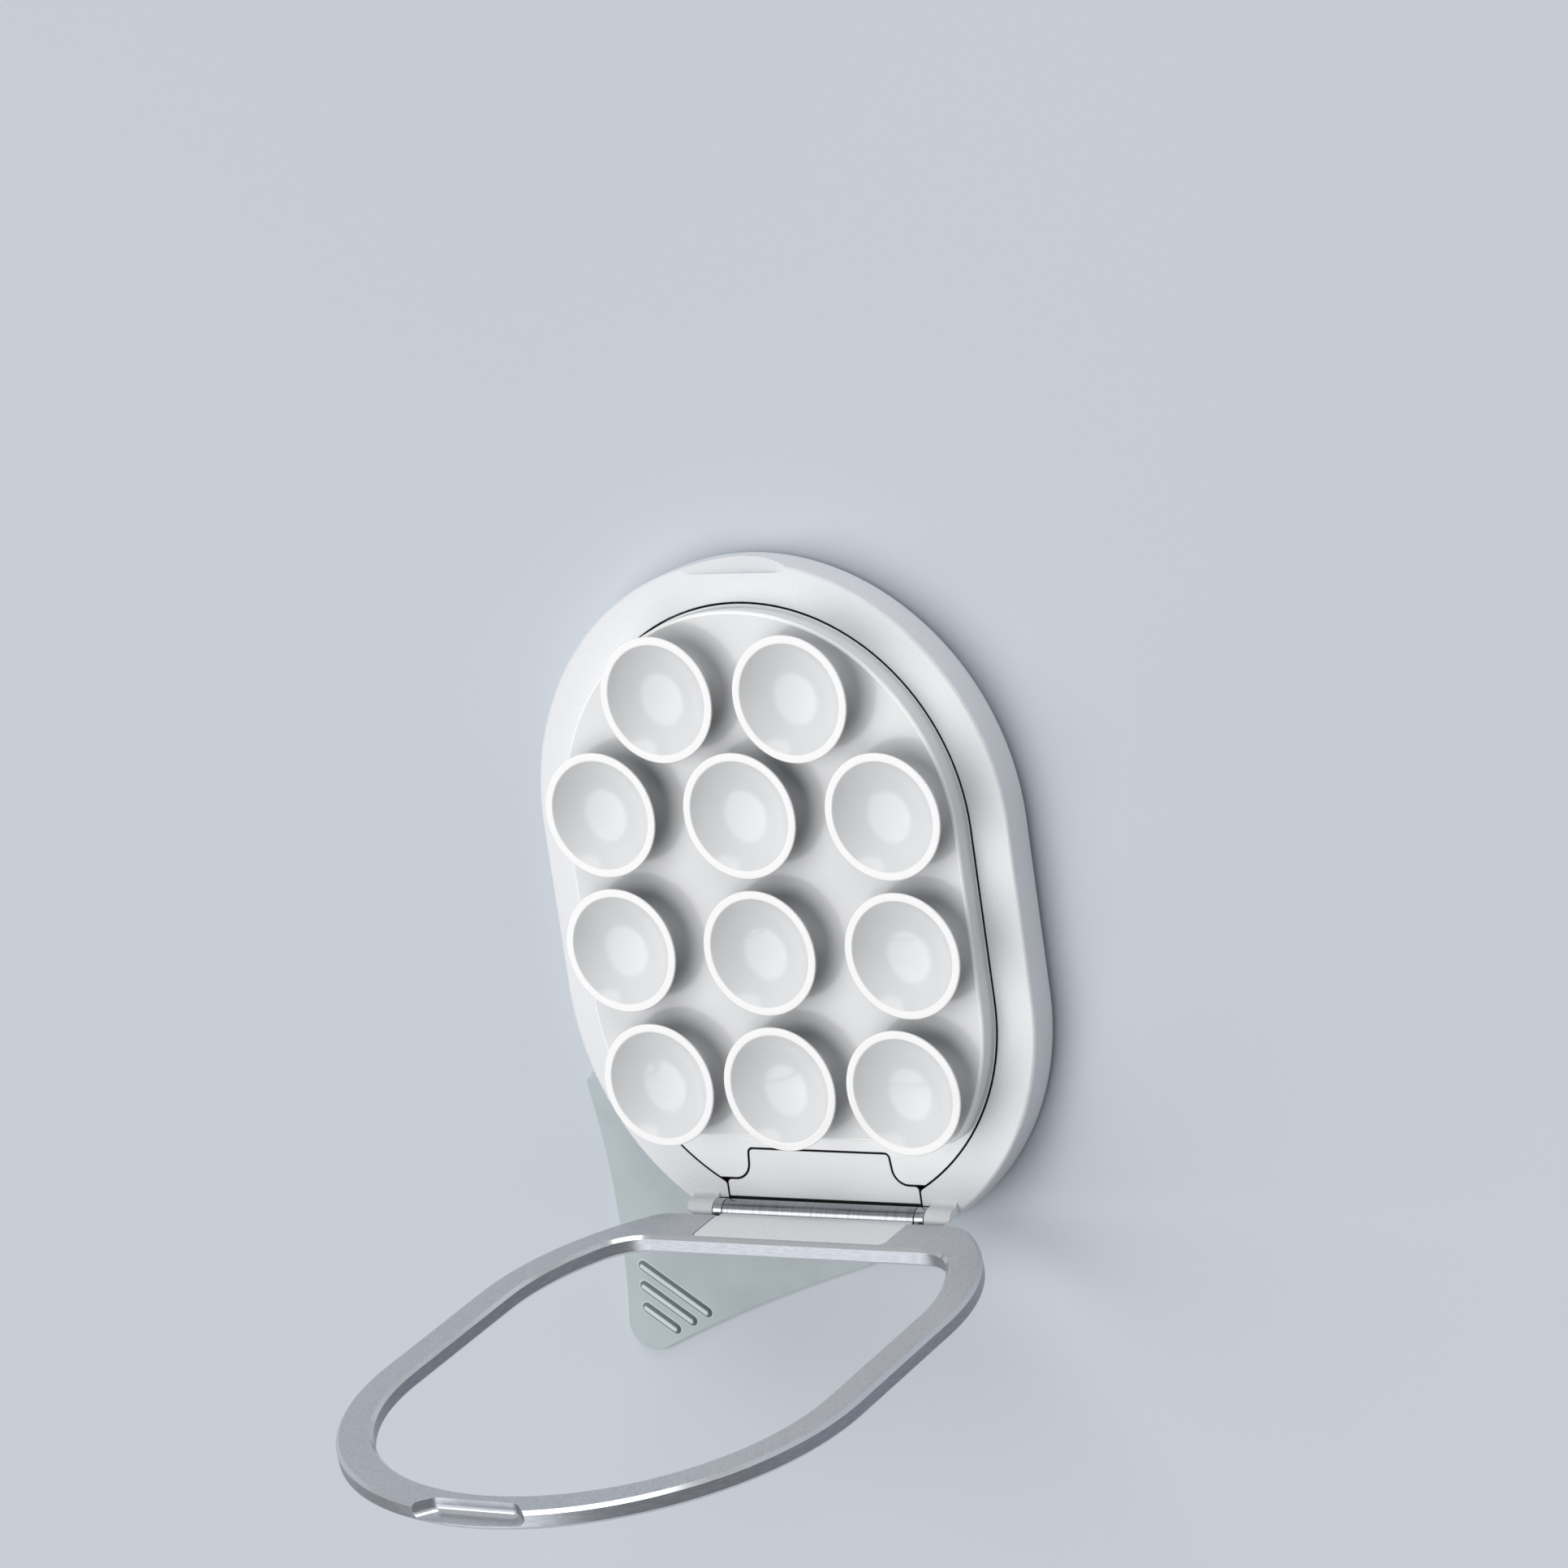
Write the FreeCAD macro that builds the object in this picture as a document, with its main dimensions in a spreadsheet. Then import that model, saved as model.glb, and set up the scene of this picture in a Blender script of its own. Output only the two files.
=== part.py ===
import FreeCAD, Part
import math
import os
import Sketcher

# Suction cup phone mount, lying on its adhesive back with the suction cups facing up.
# X runs along the stand's hinge, Y runs along the body away from the hinge, Z points out of the cups.
# The origin is the middle of the body outline, on the plane that sticks to the phone.

Vector = FreeCAD.Vector
UP = Vector(0, 0, 1)

doc = FreeCAD.newDocument("suction_cup_phone_mount")
sheet = doc.addObject("Spreadsheet::Sheet", "Sizes")

SIZES = (
    # Body outline: two end arcs on the long axis, joined by straight sides.
    ("body_radius", 27.35),
    ("arc_offset", 8.84),
    # Adhesive pad and its pull tab.
    ("adhesive_thickness", 0.5),
    ("adhesive_inset", 0.45),
    ("tab_angle", 33.8),
    ("tab_reach", 45.8),
    ("tab_tip_radius", 2.95),
    ("tab_left_root", 25.2),
    ("tab_right_root", 23.7),
    ("tab_left_half", 18.7),
    ("tab_right_half", 18.36),
    ("tab_left_curve", 58),
    ("tab_right_curve", 200),
    ("tab_corner_round", 0.8),
    ("ridge_width", 0.85),
    ("ridge_height", 0.35),
    ("ridge_pitch", 2.06),
    ("ridge_half_length", 3.9),
    ("ridge_shortening", 1.1),
    ("ridge_setback", 1.05),
    # Frame.
    ("frame_height", 3.93),
    ("floor_thickness", 1.2),
    ("rim_round", 0.35),
    ("foot_chamfer", 0.25),
    ("seam_gap", 0.2),
    ("scoop_radius", 20.4),
    ("scoop_depth", 2.23),
    ("scoop_tilt", 46),
    # Hinge, with its axis just above the face.
    ("hinge_setback", 4.44),
    ("hinge_rise", 0.77),
    ("hinge_clearance", 0.3),
    ("knuckle_radius", 1.25),
    ("knuckle_gap", 0.12),
    ("barrel_half", 11.3),
    ("clip_width", 1.0),
    ("clip_shank", 0.9),
    ("bead_length", 3.0),
    ("bead_blend", 0.6),
    ("pin_radius", 0.55),
    ("pin_clearance", 0.04),
    ("pin_depth", 0.9),
    # Hinge cover let into the face beside the hinge.
    ("cover_length", 5.11),
    ("cover_shoulder", 1.81),
    ("cover_flare", 0.3),
    ("cover_waist_share", 0.68),
    ("cover_corner_share", 0.16),
    ("lobe_length", 3.4),
    # Suction pad and cups.
    ("pad_height", 2.35),
    ("pad_to_cover", 2.1),
    ("pad_ledge", 0.15),
    ("pad_corner", 3.0),
    ("pad_edge_round", 0.45),
    ("cup_radius", 6.51),
    ("cup_height", 3.03),
    ("cup_lip", 0.89),
    ("cup_lip_edge", 0.3),
    ("cup_stem", 4.3),
    ("cup_inner_bevel", 0.12),
    ("cup_depth", 2.35),
    ("cup_spacing", 1.18),
    ("cup_overhang", 0.16),
    ("cup_row_shift", 2.72),
    ("cup_top_half", 7.76),
    # Kickstand ring.
    ("ring_width", 3.7),
    ("ring_thickness", 1.9),
    ("ring_clearance", 0.8),
    ("ring_gap", 0.22),
    ("ring_chamfer", 0.35),
    ("ring_inner_round", 5),
    ("bar_setback", 0.82),
    ("bar_clearance", 0.4),
    ("bar_round", 4.0),
    ("notch_half", 4.6),
    ("notch_flare", 2.9),
    ("notch_depth", 2.3),
    ("notch_lip", 0.5),
    ("notch_hollow", 0.7),
    ("open_angle", 95),
    # Hinge leaf let into the bar of the ring.
    ("leaf_thickness", 1.0),
    ("leaf_start", 2.45),
    ("leaf_length", 4.95),
    ("leaf_round", 0.7),
    ("leaf_edge", 0.12),
    ("neck_recess", 0.3),
    ("fit_gap", 0.03),
    # Screws from behind, under the adhesive.
    ("screw_radius", 0.6),
    ("screw_head_radius", 1.1),
    ("screw_head_height", 0.5),
    ("screw_seat", 0.6),
    ("screw_grip", 1.5),
    ("screw_spread", 15),
    ("cover_screw_spread", 5.5),
)

for row, (name, value) in enumerate(SIZES, start=1):
    sheet.set(f"A{row}", name)
    sheet.set(f"B{row}", f"{value:g}")
    sheet.setAlias(f"B{row}", name)
doc.recompute()

# Heights above the phone plane.
BASE = "Sizes.adhesive_thickness"
FLOOR = f"({BASE} + Sizes.floor_thickness)"
FACE = f"({BASE} + Sizes.frame_height)"
PAD_TOP = f"({FACE} + Sizes.pad_height)"
CUP_RIM = f"({PAD_TOP} + Sizes.cup_height)"
AXIS_Z = f"({FACE} + Sizes.hinge_rise)"
SWING = "(Sizes.knuckle_radius + Sizes.hinge_clearance)"
TROUGH = f"({AXIS_Z} - {SWING})"

# Distances from the body centre towards the hinge.
REACH = "(Sizes.body_radius - Sizes.hinge_setback)"
AXIS = f"(Sizes.arc_offset + {REACH})"
END = f"({AXIS} + Sizes.knuckle_radius)"
COVER_EDGE = f"({AXIS} - sqrt({SWING}^2 - Sizes.hinge_rise^2))"
SLOT_EDGE = f"({COVER_EDGE} + Sizes.seam_gap)"
SHOULDER = f"({COVER_EDGE} - Sizes.cover_shoulder)"
COVER_TOP = f"({COVER_EDGE} - Sizes.cover_length)"
PAD_END = f"({COVER_TOP} - Sizes.pad_to_cover)"
COVER_MIDDLE = f"({COVER_EDGE} - Sizes.cover_length / 2)"

# Radii of the nested outlines, all about the same two arc centres.
RING_INNER = "(Sizes.body_radius - Sizes.ring_width)"
PAD_RADIUS = f"({RING_INNER} - Sizes.ring_clearance)"
CARRIER_RADIUS = f"({PAD_RADIUS} + Sizes.pad_ledge)"
OPENING_RADIUS = f"({CARRIER_RADIUS} + Sizes.seam_gap)"
ADHESIVE_RADIUS = "(Sizes.body_radius - Sizes.adhesive_inset)"
CUP_CIRCLE = f"({PAD_RADIUS} - Sizes.cup_radius + Sizes.cup_overhang)"

# The carrier ends in a lobe on each side of the cover, and the cover takes its width from them.
STEP_Y = f"({SHOULDER} - Sizes.seam_gap)"
NOTCH_Y = f"({COVER_TOP} - Sizes.seam_gap)"
LOBE_X = f"sqrt({CARRIER_RADIUS}^2 - ({STEP_Y} - Sizes.arc_offset)^2)"
STEP_X = f"({LOBE_X} - Sizes.lobe_length)"
NOTCH_X = f"({STEP_X} - Sizes.cover_flare)"
COVER_STEP = f"({STEP_X} - Sizes.seam_gap)"
COVER_HALF = f"({NOTCH_X} - Sizes.seam_gap)"
WAIST_ROUND = f"(Sizes.cover_waist_share * (Sizes.barrel_half - {COVER_STEP}))"
COVER_ROUND = f"(Sizes.cover_corner_share * (Sizes.barrel_half - {COVER_STEP}))"

# Stations along the hinge, from the middle outwards.
LEG_INNER = "(Sizes.barrel_half + Sizes.seam_gap)"
CLIP_INNER = "(Sizes.barrel_half + Sizes.knuckle_gap)"
CLIP_OUTER = f"({CLIP_INNER} + Sizes.clip_width)"
BEAD_INNER = f"({CLIP_OUTER} + Sizes.knuckle_gap)"
BEAD_OUTER = f"({BEAD_INNER} + Sizes.bead_length)"
PIN_HALF = f"({BEAD_INNER} + Sizes.pin_depth)"
BORE_RADIUS = "(Sizes.pin_radius + Sizes.pin_clearance)"

# Stand heights and stations measured from the hinge axis, with the stand folded shut.
CONTACT = "(Sizes.hinge_rise - Sizes.ring_gap)"
BAR_EDGE = "(Sizes.knuckle_radius + Sizes.bar_setback)"
BAR_INNER = f"({AXIS} - {PAD_END} - Sizes.bar_clearance)"
RING_TOP = f"({AXIS} + Sizes.arc_offset)"
RING_END = f"({RING_TOP} + Sizes.body_radius)"
LEAF_END = "(Sizes.leaf_start + Sizes.leaf_length)"

ROW_PITCH = "(2 * Sizes.cup_radius + Sizes.cup_spacing)"
LOW_ROW = f"(Sizes.cup_row_shift + {ROW_PITCH})"


def number(text):
    """Present value of an expression, for first positions of sketch points."""
    return float(sheet.evalExpression(text))


def body_named(label):
    body = doc.addObject("PartDesign::Body", label)
    body.Label = label
    return body


def sketch_in(body, name, role, lift="0"):
    """Sketch on one of the body's own planes, moved along the plane's normal."""
    sketch = body.newObject("Sketcher::SketchObject", name)
    plane = next(item for item in body.Origin.OriginFeatures if item.Role == role)
    sketch.AttachmentSupport = [(plane, "")]
    sketch.MapMode = "FlatFace"
    sketch.setExpression("AttachmentOffset.Base.z", lift)
    return sketch


def drive(sketch, name, text, kind, *items):
    """Dimension that follows an expression."""
    index = sketch.addConstraint(Sketcher.Constraint(kind, *items, number(text)))
    sketch.renameConstraint(index, name)
    sketch.setExpression(f"Constraints.{name}", text)


def fix(sketch, axis, item, point, text):
    """Hold one coordinate of a point at an expression, on either side of the origin."""
    value = number(text)
    if abs(value) < 1e-9:
        datum = -2 if axis == "X" else -1
        sketch.addConstraint(Sketcher.Constraint("PointOnObject", item, point, datum))
        return
    name = f"{axis.lower()}_{item}_{point}"
    if value > 0:
        drive(sketch, name, text, f"Distance{axis}", -1, 1, item, point)
    else:
        drive(sketch, name, f"-({text})", f"Distance{axis}", item, point, -1, 1)


def place(sketch, item, point, x, y):
    fix(sketch, "X", item, point, x)
    fix(sketch, "Y", item, point, y)


def join(sketch, kind, *pairs):
    for pair in pairs:
        sketch.addConstraint(Sketcher.Constraint(kind, *pair))


def line(sketch, start, end):
    return sketch.addGeometry(Part.LineSegment(Vector(*start, 0), Vector(*end, 0)), False)


def arc(sketch, centre, radius, start, end):
    circle_ = Part.Circle(Vector(*centre, 0), UP, radius)
    return sketch.addGeometry(Part.ArcOfCircle(circle_, start, end), False)


def polygon(sketch, corners):
    points = [(number(x), number(y)) for x, y in corners]
    count = len(points)
    sides = [line(sketch, points[i], points[(i + 1) % count]) for i in range(count)]
    for i in range(count):
        join(sketch, "Coincident", (sides[i], 2, sides[(i + 1) % count], 1))
        place(sketch, sides[i], 1, *corners[i])


def rectangle(sketch, left, right, low, high):
    polygon(sketch, ((left, low), (right, low), (right, high), (left, high)))


def circle(sketch, x, y, radius):
    shape = Part.Circle(Vector(number(x), number(y), 0), UP, number(radius))
    item = sketch.addGeometry(shape, False)
    place(sketch, item, 3, x, y)
    drive(sketch, f"radius_{item}", radius, "Radius", item)


def stadium(sketch, radius, top, bottom, x="0"):
    """Two end arcs at top and bottom joined by straight sides."""
    r, mid, high, low = number(radius), number(x), number(top), number(bottom)
    upper = arc(sketch, (mid, high), r, 0, math.pi)
    left = line(sketch, (mid - r, high), (mid - r, low))
    lower = arc(sketch, (mid, low), r, math.pi, 2 * math.pi)
    right = line(sketch, (mid + r, low), (mid + r, high))
    join(sketch, "Tangent", (upper, 2, left, 1), (left, 2, lower, 1))
    join(sketch, "Tangent", (lower, 2, right, 1), (right, 2, upper, 1))
    join(sketch, "Equal", (upper, lower))
    place(sketch, upper, 3, x, top)
    place(sketch, lower, 3, x, bottom)
    drive(sketch, f"radius_{upper}", radius, "Radius", upper)


def cut_stadium(sketch, radius, top, bottom, cut):
    """Stadium outline with its lower end cut off by a straight edge."""
    r, high, low, edge = number(radius), number(top), number(bottom), number(cut)
    half = math.sqrt(r * r - (low - edge) ** 2)
    turn = math.atan2(edge - low, half)
    upper = arc(sketch, (0, high), r, 0, math.pi)
    left = line(sketch, (-r, high), (-r, low))
    low_left = arc(sketch, (0, low), r, math.pi, math.pi - turn)
    flat = line(sketch, (-half, edge), (half, edge))
    low_right = arc(sketch, (0, low), r, 2 * math.pi + turn, 2 * math.pi)
    right = line(sketch, (r, low), (r, high))
    join(sketch, "Tangent", (upper, 2, left, 1), (left, 2, low_left, 1))
    join(sketch, "Coincident", (low_left, 2, flat, 1), (flat, 2, low_right, 1))
    join(sketch, "Tangent", (low_right, 2, right, 1), (right, 2, upper, 1))
    join(sketch, "Coincident", (low_left, 3, low_right, 3))
    join(sketch, "Equal", (upper, low_left), (upper, low_right))
    join(sketch, "Horizontal", (flat,))
    place(sketch, upper, 3, "0", top)
    place(sketch, low_left, 3, "0", bottom)
    fix(sketch, "Y", flat, 1, cut)
    drive(sketch, "radius", radius, "Radius", upper)


def extrude(body, kind, name, sketch, length, side="One side", back=False):
    feature = body.newObject(f"PartDesign::{kind}", name)
    feature.Profile = sketch
    feature.SideType = side
    feature.Reversed = back
    feature.setExpression("Length", length)
    sketch.Visibility = False
    doc.recompute()
    return feature


def dress(body, kind, name, edges, size):
    """Fillet or chamfer on the edges of the body's newest feature."""
    feature = body.newObject(f"PartDesign::{kind}", name)
    feature.Base = (body.Tip if body.Tip != feature else feature.BaseFeature, edges)
    feature.setExpression("Radius" if kind == "Fillet" else "Size", size)
    doc.recompute()
    return feature


def level_edges(body, *heights, short_of=None):
    """Edges lying flat at the given heights, in the body's own axes, or only those short of a given Y."""
    levels = [number(text) for text in heights]
    names = []
    for index, edge in enumerate(body.Tip.Shape.Edges, start=1):
        box = edge.BoundBox
        if short_of and box.YMax > number(short_of) - 1e-3:
            continue
        if any(abs(box.ZMin - z) < 1e-4 and abs(box.ZMax - z) < 1e-4 for z in levels):
            names.append(f"Edge{index}")
    return names


def upright_edges(body, points):
    """Upright edges that stand at the given points, in the body's own axes."""
    names = []
    for index, edge in enumerate(body.Tip.Shape.Edges, start=1):
        box = edge.BoundBox
        if box.XLength > 1e-4 or box.YLength > 1e-4:
            continue
        if any(math.hypot(box.XMin - point.x, box.YMin - point.y) < 1e-3 for point in points):
            names.append(f"Edge{index}")
    return names


SCREWS_IN_CARRIER = tuple(
    (f"{side}Sizes.screw_spread", f"{end}Sizes.arc_offset") for side in ("", "-") for end in ("", "-")
)
SCREWS_IN_COVER = tuple((f"{side}Sizes.cover_screw_spread", f"-{COVER_MIDDLE}") for side in ("", "-"))


def pilot_holes(body, name, places):
    """Screw bores cut upwards from the seating face."""
    sketch = sketch_in(body, name, "XY_Plane", FLOOR)
    for x, y in places:
        circle(sketch, x, y, "Sizes.screw_radius + Sizes.fit_gap")
    extrude(body, "Pocket", f"{name}Cut", sketch, "Sizes.screw_grip", back=True)


# Adhesive pad: a soft sheet under the whole frame, with a ridged tab to pull it off by.
adhesive = body_named("adhesive_pad")
sheet_outline = sketch_in(adhesive, "AdhesiveOutline", "XY_Plane")
cut_stadium(
    sheet_outline,
    ADHESIVE_RADIUS,
    "Sizes.arc_offset",
    "-Sizes.arc_offset",
    f"-({END} - Sizes.adhesive_inset)",
)
extrude(adhesive, "Pad", "AdhesiveSheet", sheet_outline, BASE)


def on_tab_axis(sketch, lift):
    """Turn a sketch so that its X axis runs back up the tab to the lower arc centre."""
    sketch.AttachmentOffset = FreeCAD.Placement(Vector(0, 0, 0), FreeCAD.Rotation(UP, 50))
    sketch.setExpression("AttachmentOffset.Rotation.Angle", "90 - Sizes.tab_angle")
    sketch.setExpression("AttachmentOffset.Base.y", "-Sizes.arc_offset")
    sketch.setExpression("AttachmentOffset.Base.z", lift)


def hollow_side(tip, tip_radius, corner, radius):
    """Centre of the hollow edge that runs from a root corner and meets the round tip."""
    away = math.hypot(corner[0] - tip[0], corner[1] - tip[1])
    reach = radius + tip_radius
    along = (reach * reach - radius * radius + away * away) / (2 * away)
    across = math.sqrt(reach * reach - along * along)
    unit = ((corner[0] - tip[0]) / away, (corner[1] - tip[1]) / away)
    sign = 1 if corner[1] > tip[1] else -1
    return (
        tip[0] + along * unit[0] - sign * across * unit[1],
        tip[1] + along * unit[1] + sign * across * unit[0],
    )


tab = sketch_in(adhesive, "TabOutline", "XY_Plane")
on_tab_axis(tab, "0")
tip = (-number("Sizes.tab_reach"), 0)
tip_radius = number("Sizes.tab_tip_radius")
left_corner = (-number("Sizes.tab_left_root"), number("Sizes.tab_left_half"))
right_corner = (-number("Sizes.tab_right_root"), -number("Sizes.tab_right_half"))
left_centre = hollow_side(tip, tip_radius, left_corner, number("Sizes.tab_left_curve"))
right_centre = hollow_side(tip, tip_radius, right_corner, number("Sizes.tab_right_curve"))


def bearing(centre, point):
    return math.atan2(point[1] - centre[1], point[0] - centre[0]) % (2 * math.pi)


tip_arc = arc(tab, tip, tip_radius, bearing(tip, left_centre), bearing(tip, right_centre))
left_side = arc(
    tab,
    left_centre,
    number("Sizes.tab_left_curve"),
    bearing(left_centre, tip),
    bearing(left_centre, left_corner),
)
right_side = arc(
    tab,
    right_centre,
    number("Sizes.tab_right_curve"),
    bearing(right_centre, right_corner),
    bearing(right_centre, tip),
)
inner_left = (left_corner[0] / 2, left_corner[1] / 2)
inner_right = (right_corner[0] / 2, right_corner[1] / 2)
left_root = line(tab, left_corner, inner_left)
across_root = line(tab, inner_left, inner_right)
right_root = line(tab, inner_right, right_corner)
join(tab, "Tangent", (left_side, 1, tip_arc, 1), (tip_arc, 2, right_side, 2))
join(tab, "Coincident", (left_side, 2, left_root, 1), (left_root, 2, across_root, 1))
join(tab, "Coincident", (across_root, 2, right_root, 1), (right_root, 2, right_side, 1))
place(tab, tip_arc, 3, "-Sizes.tab_reach", "0")
place(tab, left_root, 1, "-Sizes.tab_left_root", "Sizes.tab_left_half")
place(tab, across_root, 1, "-Sizes.tab_left_root / 2", "Sizes.tab_left_half / 2")
place(tab, across_root, 2, "-Sizes.tab_right_root / 2", "-Sizes.tab_right_half / 2")
place(tab, right_root, 2, "-Sizes.tab_right_root", "-Sizes.tab_right_half")
drive(tab, "tip_radius", "Sizes.tab_tip_radius", "Radius", tip_arc)
drive(tab, "left_curve", "Sizes.tab_left_curve", "Radius", left_side)
drive(tab, "right_curve", "Sizes.tab_right_curve", "Radius", right_side)
extrude(adhesive, "Pad", "Tab", tab, BASE)
to_body = tab.AttachmentOffset
corners = [to_body.multVec(Vector(*corner, 0)) for corner in (left_corner, right_corner)]
dress(adhesive, "Fillet", "TabCorners", upright_edges(adhesive, corners), "Sizes.tab_corner_round")

ridges = sketch_in(adhesive, "Ridges", "XY_Plane")
on_tab_axis(ridges, BASE)
for step in range(3):
    half = f"(Sizes.ridge_half_length - {2 - step} * Sizes.ridge_shortening)"
    station = f"-(Sizes.tab_reach - Sizes.ridge_setback - {step} * Sizes.ridge_pitch)"
    stadium(ridges, "Sizes.ridge_width / 2", half, f"-{half}", station)
extrude(adhesive, "Pad", "RidgePads", ridges, "Sizes.ridge_height")
ridge_tops = level_edges(adhesive, f"{BASE} + Sizes.ridge_height")
dress(adhesive, "Fillet", "RidgeRounds", ridge_tops, "0.8 * min(Sizes.ridge_height; Sizes.ridge_width / 2)")

# Frame: a tray whose wall follows the body outline, open at the hinge end between two legs.
frame = body_named("frame")
outline = sketch_in(frame, "FrameOutline", "XY_Plane", BASE)
stadium(outline, "Sizes.body_radius", "Sizes.arc_offset", "-Sizes.arc_offset")
extrude(frame, "Pad", "FrameBlock", outline, "Sizes.frame_height")
dress(frame, "Fillet", "RimRound", level_edges(frame, FACE), "Sizes.rim_round")
dress(frame, "Chamfer", "FootChamfer", level_edges(frame, BASE), "Sizes.foot_chamfer")

tail = sketch_in(frame, "HingeEndTrim", "XY_Plane", FACE)
rectangle(tail, "-Sizes.body_radius", "Sizes.body_radius", f"-({AXIS} + Sizes.body_radius)", f"-{END}")
extrude(frame, "Pocket", "HingeEnd", tail, "Sizes.frame_height")

# Leg ends: square below, rising to a bead round the hinge axis that blends into the face.
leg = sketch_in(frame, "LegEnd", "YZ_Plane")
axis_y, axis_z = -number(AXIS), number(AXIS_Z)
face_z, base_z = number(FACE), number(BASE)
bead, blend = number("Sizes.knuckle_radius"), number("Sizes.bead_blend")
blend_z = face_z + blend
blend_y = axis_y + math.sqrt((bead + blend) ** 2 - (blend_z - axis_z) ** 2)
lean = math.atan2(blend_z - axis_z, blend_y - axis_y)
inside = -number(SHOULDER)
end_wall = line(leg, (axis_y - bead, base_z), (axis_y - bead, axis_z))
bead_arc = arc(leg, (axis_y, axis_z), bead, lean, math.pi)
blend_arc = arc(leg, (blend_y, blend_z), blend, math.pi + lean, 1.5 * math.pi)
face_line = line(leg, (blend_y, face_z), (inside, face_z))
inner_line = line(leg, (inside, face_z), (inside, base_z))
base_line = line(leg, (inside, base_z), (axis_y - bead, base_z))
join(leg, "Tangent", (end_wall, 2, bead_arc, 2), (bead_arc, 1, blend_arc, 1), (blend_arc, 2, face_line, 1))
join(leg, "Coincident", (face_line, 2, inner_line, 1), (inner_line, 2, base_line, 1))
join(leg, "Coincident", (base_line, 2, end_wall, 1))
join(leg, "Vertical", (end_wall,), (inner_line,))
join(leg, "Horizontal", (face_line,), (base_line,))
place(leg, bead_arc, 3, f"-{AXIS}", AXIS_Z)
place(leg, face_line, 2, f"-{SHOULDER}", FACE)
fix(leg, "Y", base_line, 2, BASE)
drive(leg, "bead_radius", "Sizes.knuckle_radius", "Radius", bead_arc)
drive(leg, "bead_blend", "Sizes.bead_blend", "Radius", blend_arc)
extrude(frame, "Pad", "LegEnds", leg, f"2 * {BEAD_OUTER}", side="Symmetric")

# The bead ends are trimmed to the body outline.
ABOVE = f"({TROUGH} + 3 * {SWING})"
TRIM_LOW = f"({END} + Sizes.knuckle_radius)"
TRIM_HIGH = f"({AXIS} - 2 * Sizes.knuckle_radius)"
trim = sketch_in(frame, "LegTrim", "XY_Plane", ABOVE)
for side in ("", "-"):
    ends = []
    for along in (TRIM_LOW, TRIM_HIGH):
        half = f"{side}sqrt(Sizes.body_radius^2 - ({along} - Sizes.arc_offset)^2)"
        ends.append((half, f"-{along}"))
    wide = f"{side}Sizes.body_radius"
    first, last = ends if side == "" else ends[::-1]
    start, stop = [(number(x), number(y)) for x, y in (first, last)]
    centre = (0, -number("Sizes.arc_offset"))
    turns = [math.atan2(y - centre[1], x) % (2 * math.pi) for x, y in (start, stop)]
    rim = arc(trim, centre, number("Sizes.body_radius"), *turns)
    out = line(trim, stop, (number(wide), stop[1]))
    along_side = line(trim, (number(wide), stop[1]), (number(wide), start[1]))
    back = line(trim, (number(wide), start[1]), start)
    join(trim, "Coincident", (rim, 2, out, 1), (out, 2, along_side, 1), (along_side, 2, back, 1), (back, 2, rim, 1))
    place(trim, rim, 1, *first)
    place(trim, rim, 2, *last)
    place(trim, along_side, 1, wide, last[1])
    place(trim, along_side, 2, wide, first[1])
    drive(trim, f"radius_{rim}", "Sizes.body_radius", "Radius", rim)
extrude(frame, "Pocket", "LegTrimCut", trim, f"{ABOVE} - {BASE}")

# Trough that the hinge barrel and the clips turn in, and room for them above the face.
trough = sketch_in(frame, "HingeTrough", "XY_Plane", ABOVE)
rectangle(trough, f"-{BEAD_INNER}", BEAD_INNER, f"-({END} + 1)", f"-{SLOT_EDGE}")
extrude(frame, "Pocket", "HingeTroughCut", trough, f"3 * {SWING}")
gap = sketch_in(frame, "HingeGap", "XY_Plane", ABOVE)
rectangle(gap, f"-{BEAD_INNER}", BEAD_INNER, f"-({END} + 1)", f"-{SHOULDER}")
extrude(frame, "Pocket", "HingeGapCut", gap, f"{ABOVE} - {FACE}")

# Recess for the pad carrier, narrowing between the legs to take the hinge cover.
LEG_JOIN = f"(Sizes.arc_offset + sqrt({OPENING_RADIUS}^2 - {LEG_INNER}^2))"
recess = sketch_in(frame, "CarrierRecess", "XY_Plane", FACE)
cut_stadium(recess, OPENING_RADIUS, "Sizes.arc_offset", "-Sizes.arc_offset", f"-{LEG_JOIN}")
extrude(frame, "Pocket", "CarrierRecessCut", recess, "Sizes.frame_height - Sizes.floor_thickness")
bay = sketch_in(frame, "CoverBay", "XY_Plane", FACE)
rectangle(bay, f"-{LEG_INNER}", LEG_INNER, f"-{SLOT_EDGE}", f"-{COVER_TOP}")
extrude(frame, "Pocket", "CoverBayCut", bay, "Sizes.frame_height - Sizes.floor_thickness")
junction = [Vector(side * number(LEG_INNER), -number(LEG_JOIN), 0) for side in (1, -1)]
dress(frame, "Fillet", "LegCorners", upright_edges(frame, junction), COVER_ROUND)

# Slots for the clip shanks, blind bores for the pin, and screw holes through the floor.
shanks = sketch_in(frame, "ShankSlots", "XY_Plane", TROUGH)
SHANK_LOW = f"-({AXIS} + Sizes.clip_shank / 2)"
SHANK_HIGH = f"-({AXIS} - Sizes.clip_shank / 2)"
rectangle(shanks, CLIP_INNER, CLIP_OUTER, SHANK_LOW, SHANK_HIGH)
rectangle(shanks, f"-{CLIP_OUTER}", f"-{CLIP_INNER}", SHANK_LOW, SHANK_HIGH)
extrude(frame, "Pocket", "ShankSlotCut", shanks, f"{TROUGH} - {FLOOR}")
bores = sketch_in(frame, "PinBores", "YZ_Plane")
circle(bores, f"-{AXIS}", AXIS_Z, BORE_RADIUS)
extrude(frame, "Pocket", "PinBoreCut", bores, f"2 * ({PIN_HALF} + Sizes.knuckle_gap)", side="Symmetric")
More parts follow.
